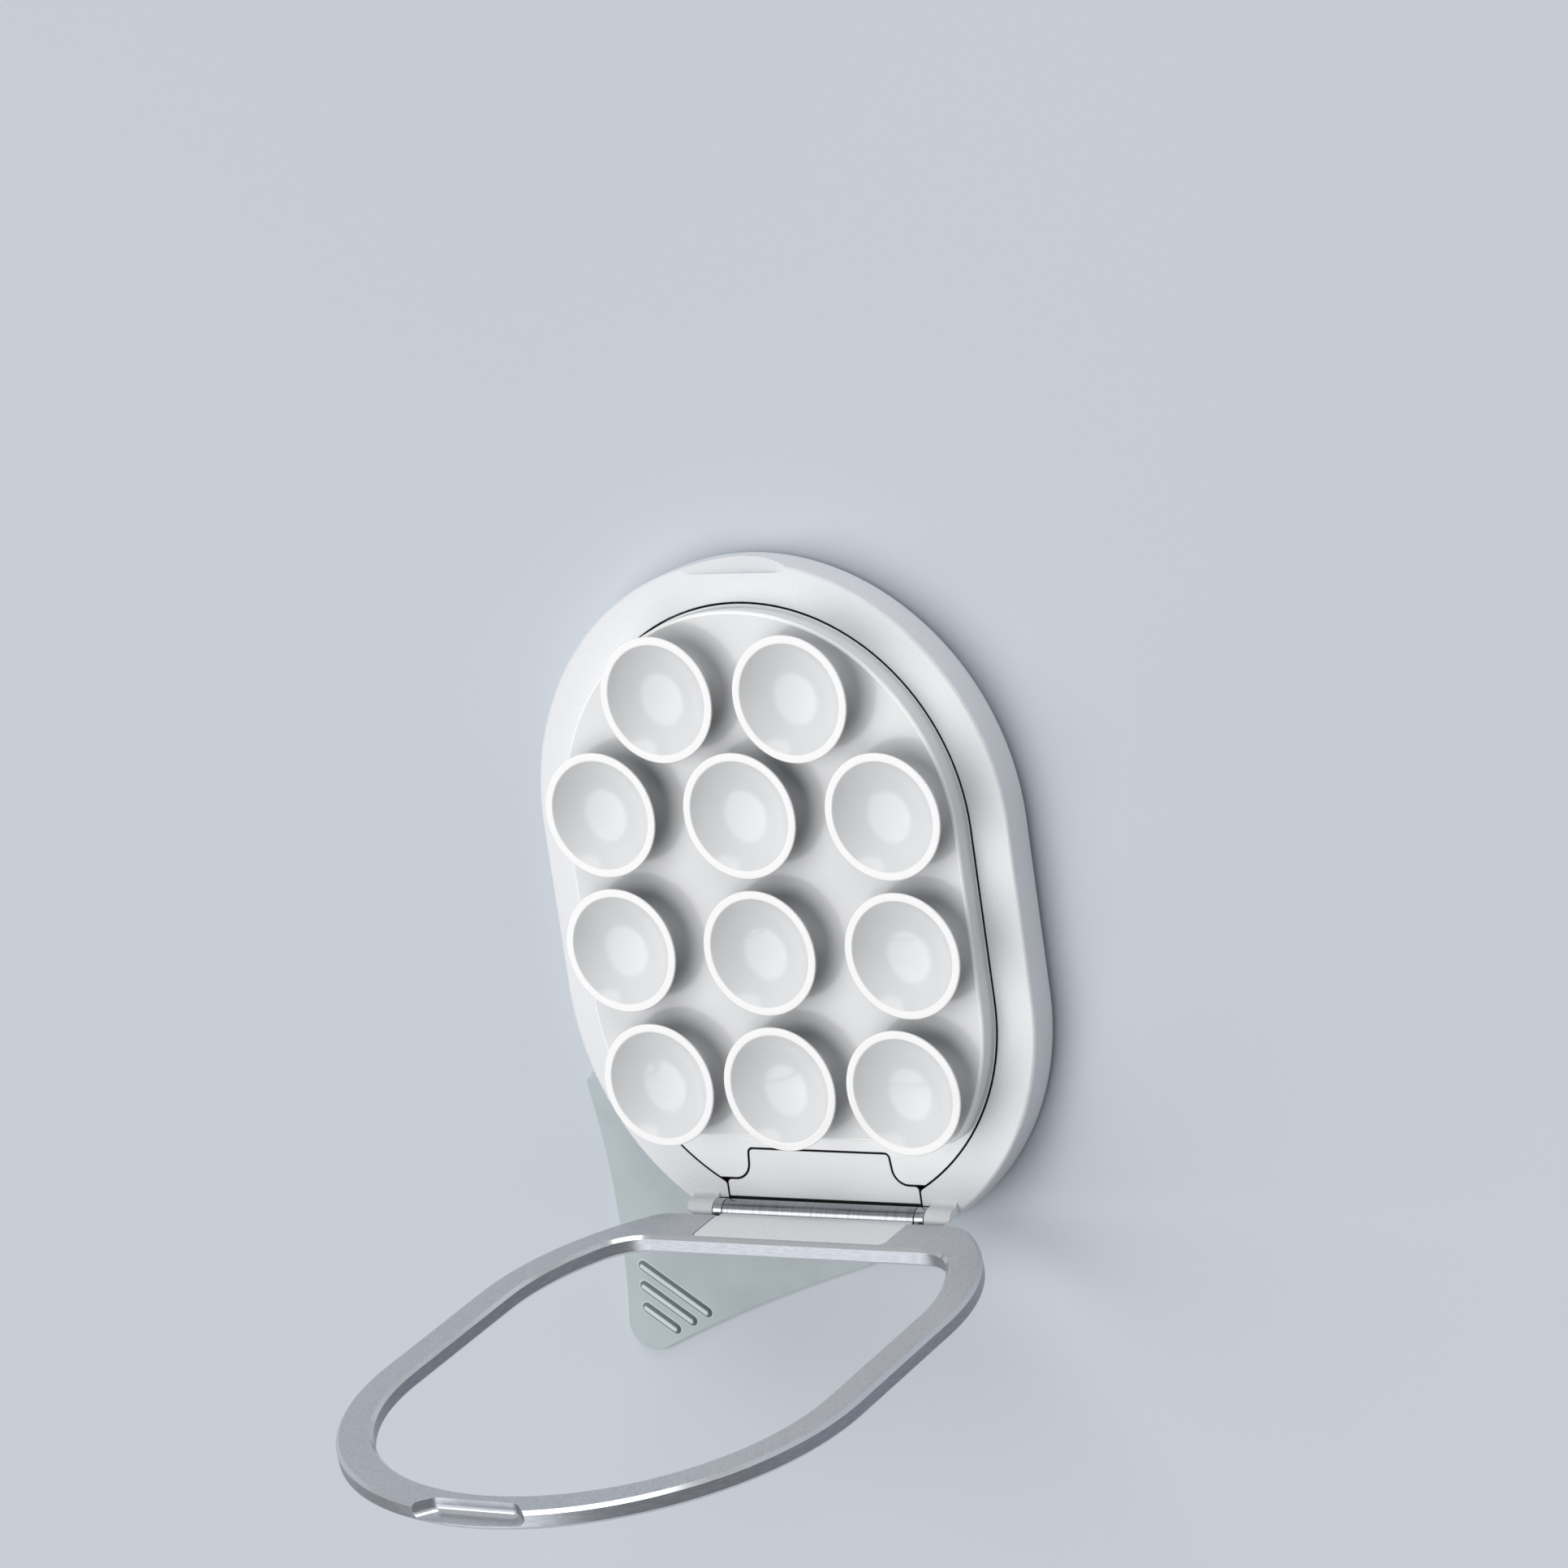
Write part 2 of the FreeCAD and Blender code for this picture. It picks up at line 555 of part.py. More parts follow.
holes = sketch_in(frame, "ScrewHoles", "XY_Plane", BASE)
seats = sketch_in(frame, "ScrewSeats", "XY_Plane", BASE)
for x, y in SCREWS_IN_CARRIER + SCREWS_IN_COVER:
    circle(holes, x, y, "Sizes.screw_radius + 2 * Sizes.fit_gap")
    circle(seats, x, y, "Sizes.screw_head_radius + 2 * Sizes.fit_gap")
extrude(frame, "Pocket", "ScrewHoleCut", holes, "Sizes.floor_thickness", back=True)
extrude(frame, "Pocket", "ScrewSeatCut", seats, "Sizes.screw_seat", back=True)

# Thumb scoop in the rim at the far end, leaning outwards towards the foot.
scoop = frame.newObject("PartDesign::SubtractiveCylinder", "ThumbScoop")
scoop.Placement = FreeCAD.Placement(Vector(0, 0, 0), FreeCAD.Rotation(Vector(1, 0, 0), 20))
LEAN = "(Sizes.scoop_tilt * 1deg)"
SCOOP_FRONT = "(Sizes.arc_offset + Sizes.body_radius - Sizes.scoop_depth)"
scoop.setExpression("Radius", "Sizes.scoop_radius")
scoop.setExpression("Height", "2 * Sizes.scoop_radius")
scoop.setExpression("Placement.Rotation.Angle", "Sizes.scoop_tilt")
scoop.setExpression(
    "Placement.Base.y",
    f"{SCOOP_FRONT} + Sizes.scoop_radius / cos({LEAN}) + Sizes.scoop_radius * sin({LEAN})",
)
scoop.setExpression("Placement.Base.z", f"{FACE} - Sizes.scoop_radius * cos({LEAN})")
doc.recompute()

# Pad carrier: the plate inside the seam, stepped at the hinge end to clear the cover.
carrier = body_named("pad_carrier")
plate = sketch_in(carrier, "CarrierOutline", "XY_Plane", FLOOR)
stadium(plate, CARRIER_RADIUS, "Sizes.arc_offset", "-Sizes.arc_offset")
extrude(carrier, "Pad", "CarrierPlate", plate, "Sizes.frame_height - Sizes.floor_thickness")
step = sketch_in(carrier, "CoverClearance", "XY_Plane", FACE)
polygon(
    step,
    (
        ("-Sizes.body_radius", f"-({END} + 1)"),
        ("Sizes.body_radius", f"-({END} + 1)"),
        ("Sizes.body_radius", f"-{STEP_Y}"),
        (STEP_X, f"-{STEP_Y}"),
        (NOTCH_X, f"-{NOTCH_Y}"),
        (f"-{NOTCH_X}", f"-{NOTCH_Y}"),
        (f"-{STEP_X}", f"-{STEP_Y}"),
        ("-Sizes.body_radius", f"-{STEP_Y}"),
    ),
)
extrude(carrier, "Pocket", "CoverClearanceCut", step, "Sizes.frame_height - Sizes.floor_thickness")
necks = [Vector(side * number(STEP_X), -number(STEP_Y), 0) for side in (1, -1)]
dress(carrier, "Fillet", "NeckRounds", upright_edges(carrier, necks), f"{WAIST_ROUND} - Sizes.seam_gap")
tops = [Vector(side * number(NOTCH_X), -number(NOTCH_Y), 0) for side in (1, -1)]
dress(carrier, "Fillet", "TopRounds", upright_edges(carrier, tops), f"{COVER_ROUND} + Sizes.seam_gap")
lobes = [Vector(side * number(LOBE_X), -number(STEP_Y), 0) for side in (1, -1)]
dress(carrier, "Fillet", "LobeRounds", upright_edges(carrier, lobes), "Sizes.seam_gap")
pilot_holes(carrier, "CarrierPilots", SCREWS_IN_CARRIER)

# Hinge cover: wide at the hinge, necking in to a straight top edge.
cover = body_named("hinge_cover")
cover_outline = sketch_in(cover, "CoverOutline", "XY_Plane", FLOOR)
polygon(
    cover_outline,
    (
        ("-Sizes.barrel_half", f"-{COVER_EDGE}"),
        ("Sizes.barrel_half", f"-{COVER_EDGE}"),
        ("Sizes.barrel_half", f"-{SHOULDER}"),
        (COVER_STEP, f"-{SHOULDER}"),
        (COVER_HALF, f"-{COVER_TOP}"),
        (f"-{COVER_HALF}", f"-{COVER_TOP}"),
        (f"-{COVER_STEP}", f"-{SHOULDER}"),
        ("-Sizes.barrel_half", f"-{SHOULDER}"),
    ),
)
extrude(cover, "Pad", "CoverPlate", cover_outline, "Sizes.frame_height - Sizes.floor_thickness")
waist = [Vector(side * number(COVER_STEP), -number(SHOULDER), 0) for side in (1, -1)]
dress(cover, "Fillet", "WaistRounds", upright_edges(cover, waist), WAIST_ROUND)
ears = [Vector(side * number(COVER_HALF), -number(COVER_TOP), 0) for side in (1, -1)]
ears += [Vector(side * number("Sizes.barrel_half"), -number(SHOULDER), 0) for side in (1, -1)]
dress(cover, "Fillet", "CoverRounds", upright_edges(cover, ears), COVER_ROUND)
pilot_holes(cover, "CoverPilots", SCREWS_IN_COVER)

# Suction pad: a soft slab bonded to the carrier, with flared cups moulded on it.
slab = body_named("pad_slab")
slab_outline = sketch_in(slab, "SlabOutline", "XY_Plane", FACE)
cut_stadium(slab_outline, PAD_RADIUS, "Sizes.arc_offset", "-Sizes.arc_offset", f"-{PAD_END}")
extrude(slab, "Pad", "Slab", slab_outline, "Sizes.pad_height")
SLAB_X = f"sqrt({PAD_RADIUS}^2 - ({PAD_END} - Sizes.arc_offset)^2)"
slab_corners = [Vector(side * number(SLAB_X), -number(PAD_END), 0) for side in (1, -1)]
dress(slab, "Fillet", "SlabCorners", upright_edges(slab, slab_corners), "Sizes.pad_corner")
dress(slab, "Fillet", "SlabRound", level_edges(slab, PAD_TOP), "Sizes.pad_edge_round")

STEM_FOOT = f"({PAD_TOP} - Sizes.pad_height / 4)"
LIP_UNDER = f"({CUP_RIM} - Sizes.cup_lip_edge)"
LIP_INNER = "(Sizes.cup_radius - Sizes.cup_lip)"
BOWL_X = f"({LIP_INNER} - Sizes.cup_inner_bevel)"
BOWL_Z = f"({CUP_RIM} - Sizes.cup_inner_bevel)"
BOWL_LOW = f"({CUP_RIM} - Sizes.cup_depth)"
UPRIGHT = FreeCAD.Placement(Vector(0, 0, 0), FreeCAD.Rotation(Vector(1, 0, 0), 90))


def cup_section():
    """Half section of a cup: stem, flare, flat lip with its inner edge broken, and round bowl."""
    sketch = doc.addObject("Sketcher::SketchObject", "CupSection")
    sketch.Placement = UPRIGHT
    stem, lip = number("Sizes.cup_stem"), number("Sizes.cup_radius")
    foot, top, under = number(STEM_FOOT), number(PAD_TOP), number(LIP_UNDER)
    rise, spread = under - top, lip - stem
    flare = (spread ** 2 + rise ** 2) / (2 * spread)
    bowl_x, bowl_z, bowl_low = number(BOWL_X), number(BOWL_Z), number(BOWL_LOW)
    drop = bowl_z - bowl_low
    bowl = (bowl_x ** 2 + drop ** 2) / (2 * drop)
    rim, lip_inner = number(CUP_RIM), number(LIP_INNER)
    flare_start = math.atan2(rise, spread - flare)
    bowl_end = math.atan2(bowl_z - bowl_low - bowl, bowl_x)
    floor_line = line(sketch, (0, foot), (stem, foot))
    stem_line = line(sketch, (stem, foot), (stem, top))
    flare_arc = arc(sketch, (stem + flare, top), flare, flare_start, math.pi)
    edge_line = line(sketch, (lip, under), (lip, rim))
    lip_line = line(sketch, (lip, rim), (lip_inner, rim))
    bevel_line = line(sketch, (lip_inner, rim), (bowl_x, bowl_z))
    bowl_arc = arc(sketch, (0, bowl_low + bowl), bowl, -math.pi / 2, bowl_end)
    axis_line = line(sketch, (0, bowl_low), (0, foot))
    join(sketch, "Coincident", (floor_line, 2, stem_line, 1), (flare_arc, 1, edge_line, 1))
    join(sketch, "Tangent", (stem_line, 2, flare_arc, 2))
    join(sketch, "Coincident", (edge_line, 2, lip_line, 1), (lip_line, 2, bevel_line, 1))
    join(sketch, "Coincident", (bevel_line, 2, bowl_arc, 2), (bowl_arc, 1, axis_line, 1))
    join(sketch, "Coincident", (axis_line, 2, floor_line, 1))
    place(sketch, floor_line, 1, "0", STEM_FOOT)
    place(sketch, stem_line, 1, "Sizes.cup_stem", STEM_FOOT)
    place(sketch, stem_line, 2, "Sizes.cup_stem", PAD_TOP)
    place(sketch, edge_line, 1, "Sizes.cup_radius", LIP_UNDER)
    place(sketch, lip_line, 1, "Sizes.cup_radius", CUP_RIM)
    place(sketch, bevel_line, 1, LIP_INNER, CUP_RIM)
    place(sketch, bowl_arc, 2, BOWL_X, BOWL_Z)
    place(sketch, axis_line, 1, "0", BOWL_LOW)
    join(sketch, "PointOnObject", (bowl_arc, 3, -2))
    sketch.Visibility = False
    doc.recompute()
    return sketch


def turned(name, section, x, y):
    """Section turned about its own upright axis, standing at x and y."""
    solid = doc.addObject("Part::Revolution", name)
    solid.Source = section
    solid.Axis = UP
    solid.Angle = 360
    solid.Solid = True
    solid.setExpression("Placement.Base.x", x)
    solid.setExpression("Placement.Base.y", y)
    return solid


HIGH_ROW = f"{ROW_PITCH} - Sizes.cup_row_shift"
CROWN_ROW = f"Sizes.arc_offset + sqrt({CUP_CIRCLE}^2 - Sizes.cup_top_half^2)"
LOW_X = f"sqrt({CUP_CIRCLE}^2 - ({LOW_ROW} - Sizes.arc_offset)^2)"
CUP_ROWS = (
    (("", "-"), "Sizes.cup_top_half", CROWN_ROW),
    (("", "-", "0 *"), CUP_CIRCLE, HIGH_ROW),
    (("", "-", "0 *"), CUP_CIRCLE, "-Sizes.cup_row_shift"),
    (("", "-", "0 *"), LOW_X, f"-{LOW_ROW}"),
)
section = cup_section()
cups = []
for sides, across, along in CUP_ROWS:
    for side in sides:
        cups.append(turned(f"Cup{len(cups) + 1}", section, f"{side} {across}", along))
suction_pad = doc.addObject("Part::MultiFuse", "suction_pad")
suction_pad.Label = "suction_pad"
suction_pad.Shapes = [slab] + cups
suction_pad.Refine = True
doc.recompute()


# Friction clips: a rolled eye on the pin, with a shank pressed into the frame.
def friction_clip(label, lift):
    clip = body_named(label)
    eye = sketch_in(clip, f"Eye_{label}", "YZ_Plane", lift)
    circle(eye, f"-{AXIS}", AXIS_Z, "Sizes.knuckle_radius")
    extrude(clip, "Pad", f"EyePad_{label}", eye, "Sizes.clip_width")
    shank = sketch_in(clip, f"Shank_{label}", "YZ_Plane", lift)
    rectangle(shank, SHANK_LOW, SHANK_HIGH, FLOOR, AXIS_Z)
    extrude(clip, "Pad", f"ShankPad_{label}", shank, "Sizes.clip_width")
    bore = sketch_in(clip, f"EyeBore_{label}", "YZ_Plane", lift)
    circle(bore, f"-{AXIS}", AXIS_Z, BORE_RADIUS)
    extrude(clip, "Pocket", f"EyeBoreCut_{label}", bore, "Sizes.clip_width", back=True)
    return clip


clip_right = friction_clip("friction_clip_right", CLIP_INNER)
clip_left = friction_clip("friction_clip_left", f"-{CLIP_OUTER}")

# Screws: flat heads sunk in the back of the frame.
SCREW_SEAT = f"({BASE} + Sizes.screw_seat)"
SCREW_LOW = f"({SCREW_SEAT} - Sizes.screw_head_height)"
SCREW_TIP = f"({FLOOR} + Sizes.screw_grip - 2 * Sizes.fit_gap)"
screw_section = doc.addObject("Sketcher::SketchObject", "ScrewSection")
screw_section.Placement = UPRIGHT
polygon(
    screw_section,
    (
        ("0", SCREW_LOW),
        ("Sizes.screw_head_radius", SCREW_LOW),
        ("Sizes.screw_head_radius", SCREW_SEAT),
        ("Sizes.screw_radius", SCREW_SEAT),
        ("Sizes.screw_radius", SCREW_TIP),
        ("0", SCREW_TIP),
    ),
)
screw_section.Visibility = False
case_screws = doc.addObject("Part::Compound", "case_screws")
case_screws.Label = "case_screws"
case_screws.Links = [
    turned(f"Screw{index}", screw_section, x, y)
    for index, (x, y) in enumerate(SCREWS_IN_CARRIER + SCREWS_IN_COVER, start=1)
]

# Hinge pin.
pin = doc.addObject("Part::Cylinder", "hinge_pin")
pin.Label = "hinge_pin"
pin.Placement = FreeCAD.Placement(Vector(0, 0, 0), FreeCAD.Rotation(Vector(0, 1, 0), 90))
pin.setExpression("Radius", "Sizes.pin_radius")
pin.setExpression("Height", f"2 * {PIN_HALF}")
pin.setExpression("Placement.Base.x", f"-{PIN_HALF}")
pin.setExpression("Placement.Base.y", f"-{AXIS}")
pin.setExpression("Placement.Base.z", AXIS_Z)
doc.recompute()


def swing_open(body):
    """Turn a piece of the stand from folded shut to its open angle about the hinge axis."""
    body.Placement = FreeCAD.Placement(Vector(0, 0, 0), FreeCAD.Rotation(Vector(1, 0, 0), 90))
    body.setExpression("Placement.Rotation.Angle", "Sizes.open_angle")
    body.setExpression("Placement.Base.y", f"-{AXIS}")
    body.setExpression("Placement.Base.z", AXIS_Z)
    doc.recompute()


# Kickstand ring, drawn folded shut with its own origin on the hinge axis.
ring = body_named("kickstand_ring")
OUTER_FACE = f"(Sizes.ring_thickness - {CONTACT})"
ring_outline = sketch_in(ring, "RingOutline", "XY_Plane", f"-{CONTACT}")
cut_stadium(ring_outline, "Sizes.body_radius", RING_TOP, REACH, BAR_EDGE)
extrude(ring, "Pad", "RingPlate", ring_outline, "Sizes.ring_thickness")
BAR_HALF = f"sqrt(Sizes.body_radius^2 - ({REACH} - {BAR_EDGE})^2)"
bar_corners = [Vector(side * number(BAR_HALF), number(BAR_EDGE), 0) for side in (1, -1)]
dress(ring, "Fillet", "BarCorners", upright_edges(ring, bar_corners), "Sizes.bar_round")
window = sketch_in(ring, "RingWindow", "XY_Plane", OUTER_FACE)
cut_stadium(window, RING_INNER, RING_TOP, REACH, BAR_INNER)
extrude(ring, "Pocket", "RingWindowCut", window, "Sizes.ring_thickness")
WINDOW_HALF = f"sqrt({RING_INNER}^2 - ({REACH} - {BAR_INNER})^2)"
window_corners = [Vector(side * number(WINDOW_HALF), number(BAR_INNER), 0) for side in (1, -1)]
dress(ring, "Fillet", "WindowCorners", upright_edges(ring, window_corners), "Sizes.ring_inner_round")
dress(ring, "Chamfer", "RingEdges", level_edges(ring, f"-{CONTACT}", OUTER_FACE), "Sizes.ring_chamfer")
seat = sketch_in(ring, "LeafSeat", "XY_Plane", f"-{CONTACT}")
SEAT_HALF = "(Sizes.barrel_half + Sizes.fit_gap)"
rectangle(seat, f"-{SEAT_HALF}", SEAT_HALF, "0", f"{LEAF_END} + Sizes.fit_gap")
extrude(ring, "Pocket", "LeafSeatCut", seat, "Sizes.leaf_thickness", back=True)
seat_corners = [
    Vector(side * number(SEAT_HALF), number(f"{LEAF_END} + Sizes.fit_gap"), 0) for side in (1, -1)
]
dress(ring, "Fillet", "SeatRounds", upright_edges(ring, seat_corners), "Sizes.leaf_round + Sizes.fit_gap")
nail = sketch_in(ring, "NailNotch", "XY_Plane", f"-{CONTACT}")
NAIL_BACK = f"({RING_END} - Sizes.notch_depth)"
NAIL_FRONT = f"({RING_END} + Sizes.ring_chamfer)"
NAIL_WIDE = "(Sizes.notch_half + Sizes.notch_flare)"
polygon(
    nail,
    (
        ("-Sizes.notch_half", NAIL_BACK),
        ("Sizes.notch_half", NAIL_BACK),
        (NAIL_WIDE, NAIL_FRONT),
        (f"-{NAIL_WIDE}", NAIL_FRONT),
    ),
)
extrude(ring, "Pocket", "NailNotchCut", nail, "Sizes.ring_thickness - Sizes.notch_lip", back=True)
nail_corners = [Vector(side * number("Sizes.notch_half"), number(NAIL_BACK), 0) for side in (1, -1)]
dress(ring, "Fillet", "NailRounds", upright_edges(ring, nail_corners), "Sizes.notch_depth / 2")
nail_floor = level_edges(ring, f"{OUTER_FACE} - Sizes.notch_lip", short_of=RING_END)
dress(ring, "Fillet", "NailHollow", nail_floor, "Sizes.notch_hollow")
swing_open(ring)

# Hinge leaf: barrel on the pin, and a plate let into the bar flush with its contact face.
leaf = body_named("hinge_leaf")
LEAF_BACK = f"(Sizes.leaf_thickness - {CONTACT})"
NECK_FRONT = f"({CONTACT} - Sizes.neck_recess)"
barrel = sketch_in(leaf, "Barrel", "YZ_Plane")
circle(barrel, "0", "0", "Sizes.knuckle_radius")
extrude(leaf, "Pad", "BarrelPad", barrel, "2 * Sizes.barrel_half", side="Symmetric")
tongue = sketch_in(leaf, "LeafSection", "YZ_Plane")
polygon(
    tongue,
    (
        ("Sizes.pin_radius / 2", f"-{NECK_FRONT}"),
        ("Sizes.leaf_start", f"-{NECK_FRONT}"),
        ("Sizes.leaf_start", f"-{CONTACT}"),
        (LEAF_END, f"-{CONTACT}"),
        (LEAF_END, LEAF_BACK),
        ("Sizes.pin_radius / 2", LEAF_BACK),
    ),
)
extrude(leaf, "Pad", "LeafPlate", tongue, "2 * Sizes.barrel_half", side="Symmetric")
leaf_bore = sketch_in(leaf, "BarrelBore", "YZ_Plane")
circle(leaf_bore, "0", "0", "Sizes.pin_radius + Sizes.fit_gap")
extrude(leaf, "Pocket", "BarrelBoreCut", leaf_bore, "2 * Sizes.barrel_half", side="Symmetric")
leaf_corners = [Vector(side * number("Sizes.barrel_half"), number(LEAF_END), 0) for side in (1, -1)]
dress(leaf, "Fillet", "LeafRounds", upright_edges(leaf, leaf_corners), "Sizes.leaf_round")
dress(leaf, "Chamfer", "LeafEdges", level_edges(leaf, f"-{CONTACT}"), "Sizes.leaf_edge")
swing_open(leaf)

NODES = (
    frame,
    carrier,
    suction_pad,
    cover,
    clip_left,
    clip_right,
    case_screws,
    adhesive,
    ring,
    leaf,
    pin,
)

doc.recompute()
for item in doc.Objects:
    if "Invalid" in item.State or "Error" in item.State:
        raise RuntimeError(f"{item.Label} did not recompute: {item.State}")
for node in NODES:
    if node.Shape.isNull() or not node.Shape.isValid():
        raise RuntimeError(f"{node.Label} has no valid shape")

os.makedirs("parts", exist_ok=True)
for node in NODES:
    node.Shape.exportStep(f"parts/{node.Label}.step")
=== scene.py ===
import math

import bmesh
import bpy
from mathutils import Matrix, Vector


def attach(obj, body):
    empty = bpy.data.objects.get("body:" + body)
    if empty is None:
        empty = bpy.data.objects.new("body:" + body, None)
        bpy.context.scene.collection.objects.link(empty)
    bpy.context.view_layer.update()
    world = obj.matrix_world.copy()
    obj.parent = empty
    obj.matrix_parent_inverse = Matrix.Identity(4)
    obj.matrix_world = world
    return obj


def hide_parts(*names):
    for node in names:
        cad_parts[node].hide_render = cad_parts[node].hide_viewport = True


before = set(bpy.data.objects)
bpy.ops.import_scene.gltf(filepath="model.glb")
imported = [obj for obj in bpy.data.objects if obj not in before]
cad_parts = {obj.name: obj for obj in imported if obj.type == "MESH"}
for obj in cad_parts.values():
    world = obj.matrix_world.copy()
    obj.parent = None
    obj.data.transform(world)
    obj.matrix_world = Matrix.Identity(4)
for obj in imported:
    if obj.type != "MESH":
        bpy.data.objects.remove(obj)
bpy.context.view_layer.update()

# Lengths in this file are millimetres in the shared frame; meshes are written in metres.
MM = 0.001

# Body outline: two end arcs on the long axis.
ARC_Y = 8.84
HIGH_CENTRE = (0, ARC_Y)
LOW_CENTRE = (0, -ARC_Y)

# Hinge axis.
HINGE_Y = -31.75
HINGE_Z = 5.2

# Silicone pad: a slab with a rounded top edge and a narrow level margin inside it.
PAD_BASE = 4.43
PAD_TOP = 6.78
PAD_RADIUS = 22.85
PAD_END = -23.195
PAD_CORNER = 3.0
PAD_EDGE = 0.3
PAD_WALL = 0.9
PAD_MARGIN = 0.06

# Suction cups: a flared stem on a rounded foot, with a narrow skirt that joins the slab.
CUP_CENTRES = (
    (-7.76, 23.40), (7.76, 23.40),
    (-16.5, 11.48), (0.0, 11.48), (16.5, 11.48),
    (-16.5, -2.72), (0.0, -2.72), (16.5, -2.72),
    (-14.38, -16.92), (0.0, -16.92), (14.38, -16.92),
)
CUP_RADIUS = 6.51
CUP_HEIGHT = 3.03
CUP_STEM = 4.3
CUP_FOOT = 0.45
CUP_SKIRT = 0.1
CUP_SEGMENTS = 72
FLARE_STEPS = 10

# Lip: its edge height, its width, and the gap between the flare and its underside.
LIP_EDGE = 0.3
LIP_WIDTH = 0.82
LIP_GAP = 0.14
LIP_CORNER = 0.14
# Points under the lip: in from the rim, and up from the foot of its edge.
LIP_UNDERSIDE = ((0.22, -0.05), (0.09, 0.0), (0.02, 0.06))
# Level part of the lip: in from the rim, and out from the rounded mouth.
LIP_LEVEL_START = 0.3
LIP_LEVEL_END = 0.1

# Bowl: part of a ball. The trims are degrees that its arc stops short of the mouth and the pole.
BOWL_DEPTH = 2.35
MOUTH_ROUND = 0.2
MOUTH_TRIM = 1.4
POLE_TRIM = 1.5

# Adhesive sheet.
GEL_TOP = 0.5
GEL_RADIUS = 26.9
GEL_END = -32.55
GEL_EDGE = 0.16
GEL_MARGIN = 0.05

# Its pull tab, in axes that run back up the tab from the lower arc centre.
TAB_TURN = math.radians(56.2)
TAB_TIP = (-45.86, 0.7)
TAB_TIP_RADIUS = 2.95
TAB_LEFT = (-25.55, 18.8)
TAB_RIGHT = (-23.7, -18.36)
TAB_LEFT_CURVE = 84.0
TAB_RIGHT_CURVE = 200.0
TAB_CORNER = 0.8

# Ridges across the tab: distance down the tab and half length, then radius and rise of one ridge.
RIDGES = ((44.52, 1.95), (42.47, 3.2), (40.5, 4.3))
RIDGE_PROFILE = (
    (0.70, 0.0), (0.635, 0.005), (0.58, 0.03), (0.525, 0.075), (0.395, 0.195),
    (0.265, 0.295), (0.19, 0.332), (0.11, 0.347), (0.045, 0.35),
)

# The least cosine by which a corner's inset is lengthened.
MITRE_LIMIT = 0.4


# Flat curves

def arc(centre, radius, start, stop, steps):
    """Points on an arc, both ends included, with angles in degrees."""
    points = []
    for i in range(steps + 1):
        a = math.radians(start + (stop - start) * i / steps)
        points.append((centre[0] + radius * math.cos(a), centre[1] + radius * math.sin(a)))
    return points


def run(start, stop, steps):
    """Points strictly between two ends of a straight run."""
    return [
        (
            start[0] + (stop[0] - start[0]) * i / steps,
            start[1] + (stop[1] - start[1]) * i / steps,
        )
        for i in range(1, steps)
    ]


def bearing(centre, point):
    """Direction from a centre to a point, in degrees."""
    return math.degrees(math.atan2(point[1] - centre[1], point[0] - centre[0]))


def sweep(centre, radius, start, stop, steps):
    """Points on the shorter arc from one point to another."""
    begin = bearing(centre, start)
    turn = (bearing(centre, stop) - begin + 180) % 360 - 180
    return arc(centre, radius, begin, begin + turn, steps)


def rounded(before, corner, after, radius, steps):
    """A corner of a path replaced by a small arc."""
    corner = Vector(corner)
    a = (Vector(before) - corner).normalized()
    b = (Vector(after) - corner).normalized()
    half = a.angle(b) / 2
    reach = radius / math.tan(half)
    centre = corner + (a + b).normalized() * radius / math.sin(half)
    first = corner + a * reach
    last = corner + b * reach
    start = math.atan2(first.y - centre.y, first.x - centre.x)
    stop = math.atan2(last.y - centre.y, last.x - centre.x)
    turn = (stop - start + math.pi) % (2 * math.pi) - math.pi
    points = []
    for i in range(steps + 1):
        angle = start + turn * i / steps
        points.append((centre.x + radius * math.cos(angle), centre.y + radius * math.sin(angle)))
    return points


def inset(points, distance):
    """A closed counterclockwise loop moved inwards by a small distance."""
    moved = []
    count = len(points)
    for i, p in enumerate(points):
        before = Vector(points[i - 1])
        after = Vector(points[(i + 1) % count])
        here = Vector(p)
        a = (here - before).normalized()
        b = (after - here).normalized()
        na = Vector((-a.y, a.x))
        nb = Vector((-b.y, b.x))
        way = (na + nb).normalized()
        moved.append(tuple(here + way * distance / max(MITRE_LIMIT, way.dot(na))))
    return moved


def edge_round(radius, steps):
    """Inset and drop of each loop that rounds a top edge, from the wall up."""
    for i in range(steps + 1):
        a = math.radians(90 * i / steps)
        yield radius * (1 - math.cos(a)), radius * (1 - math.sin(a))


# Mesh shells

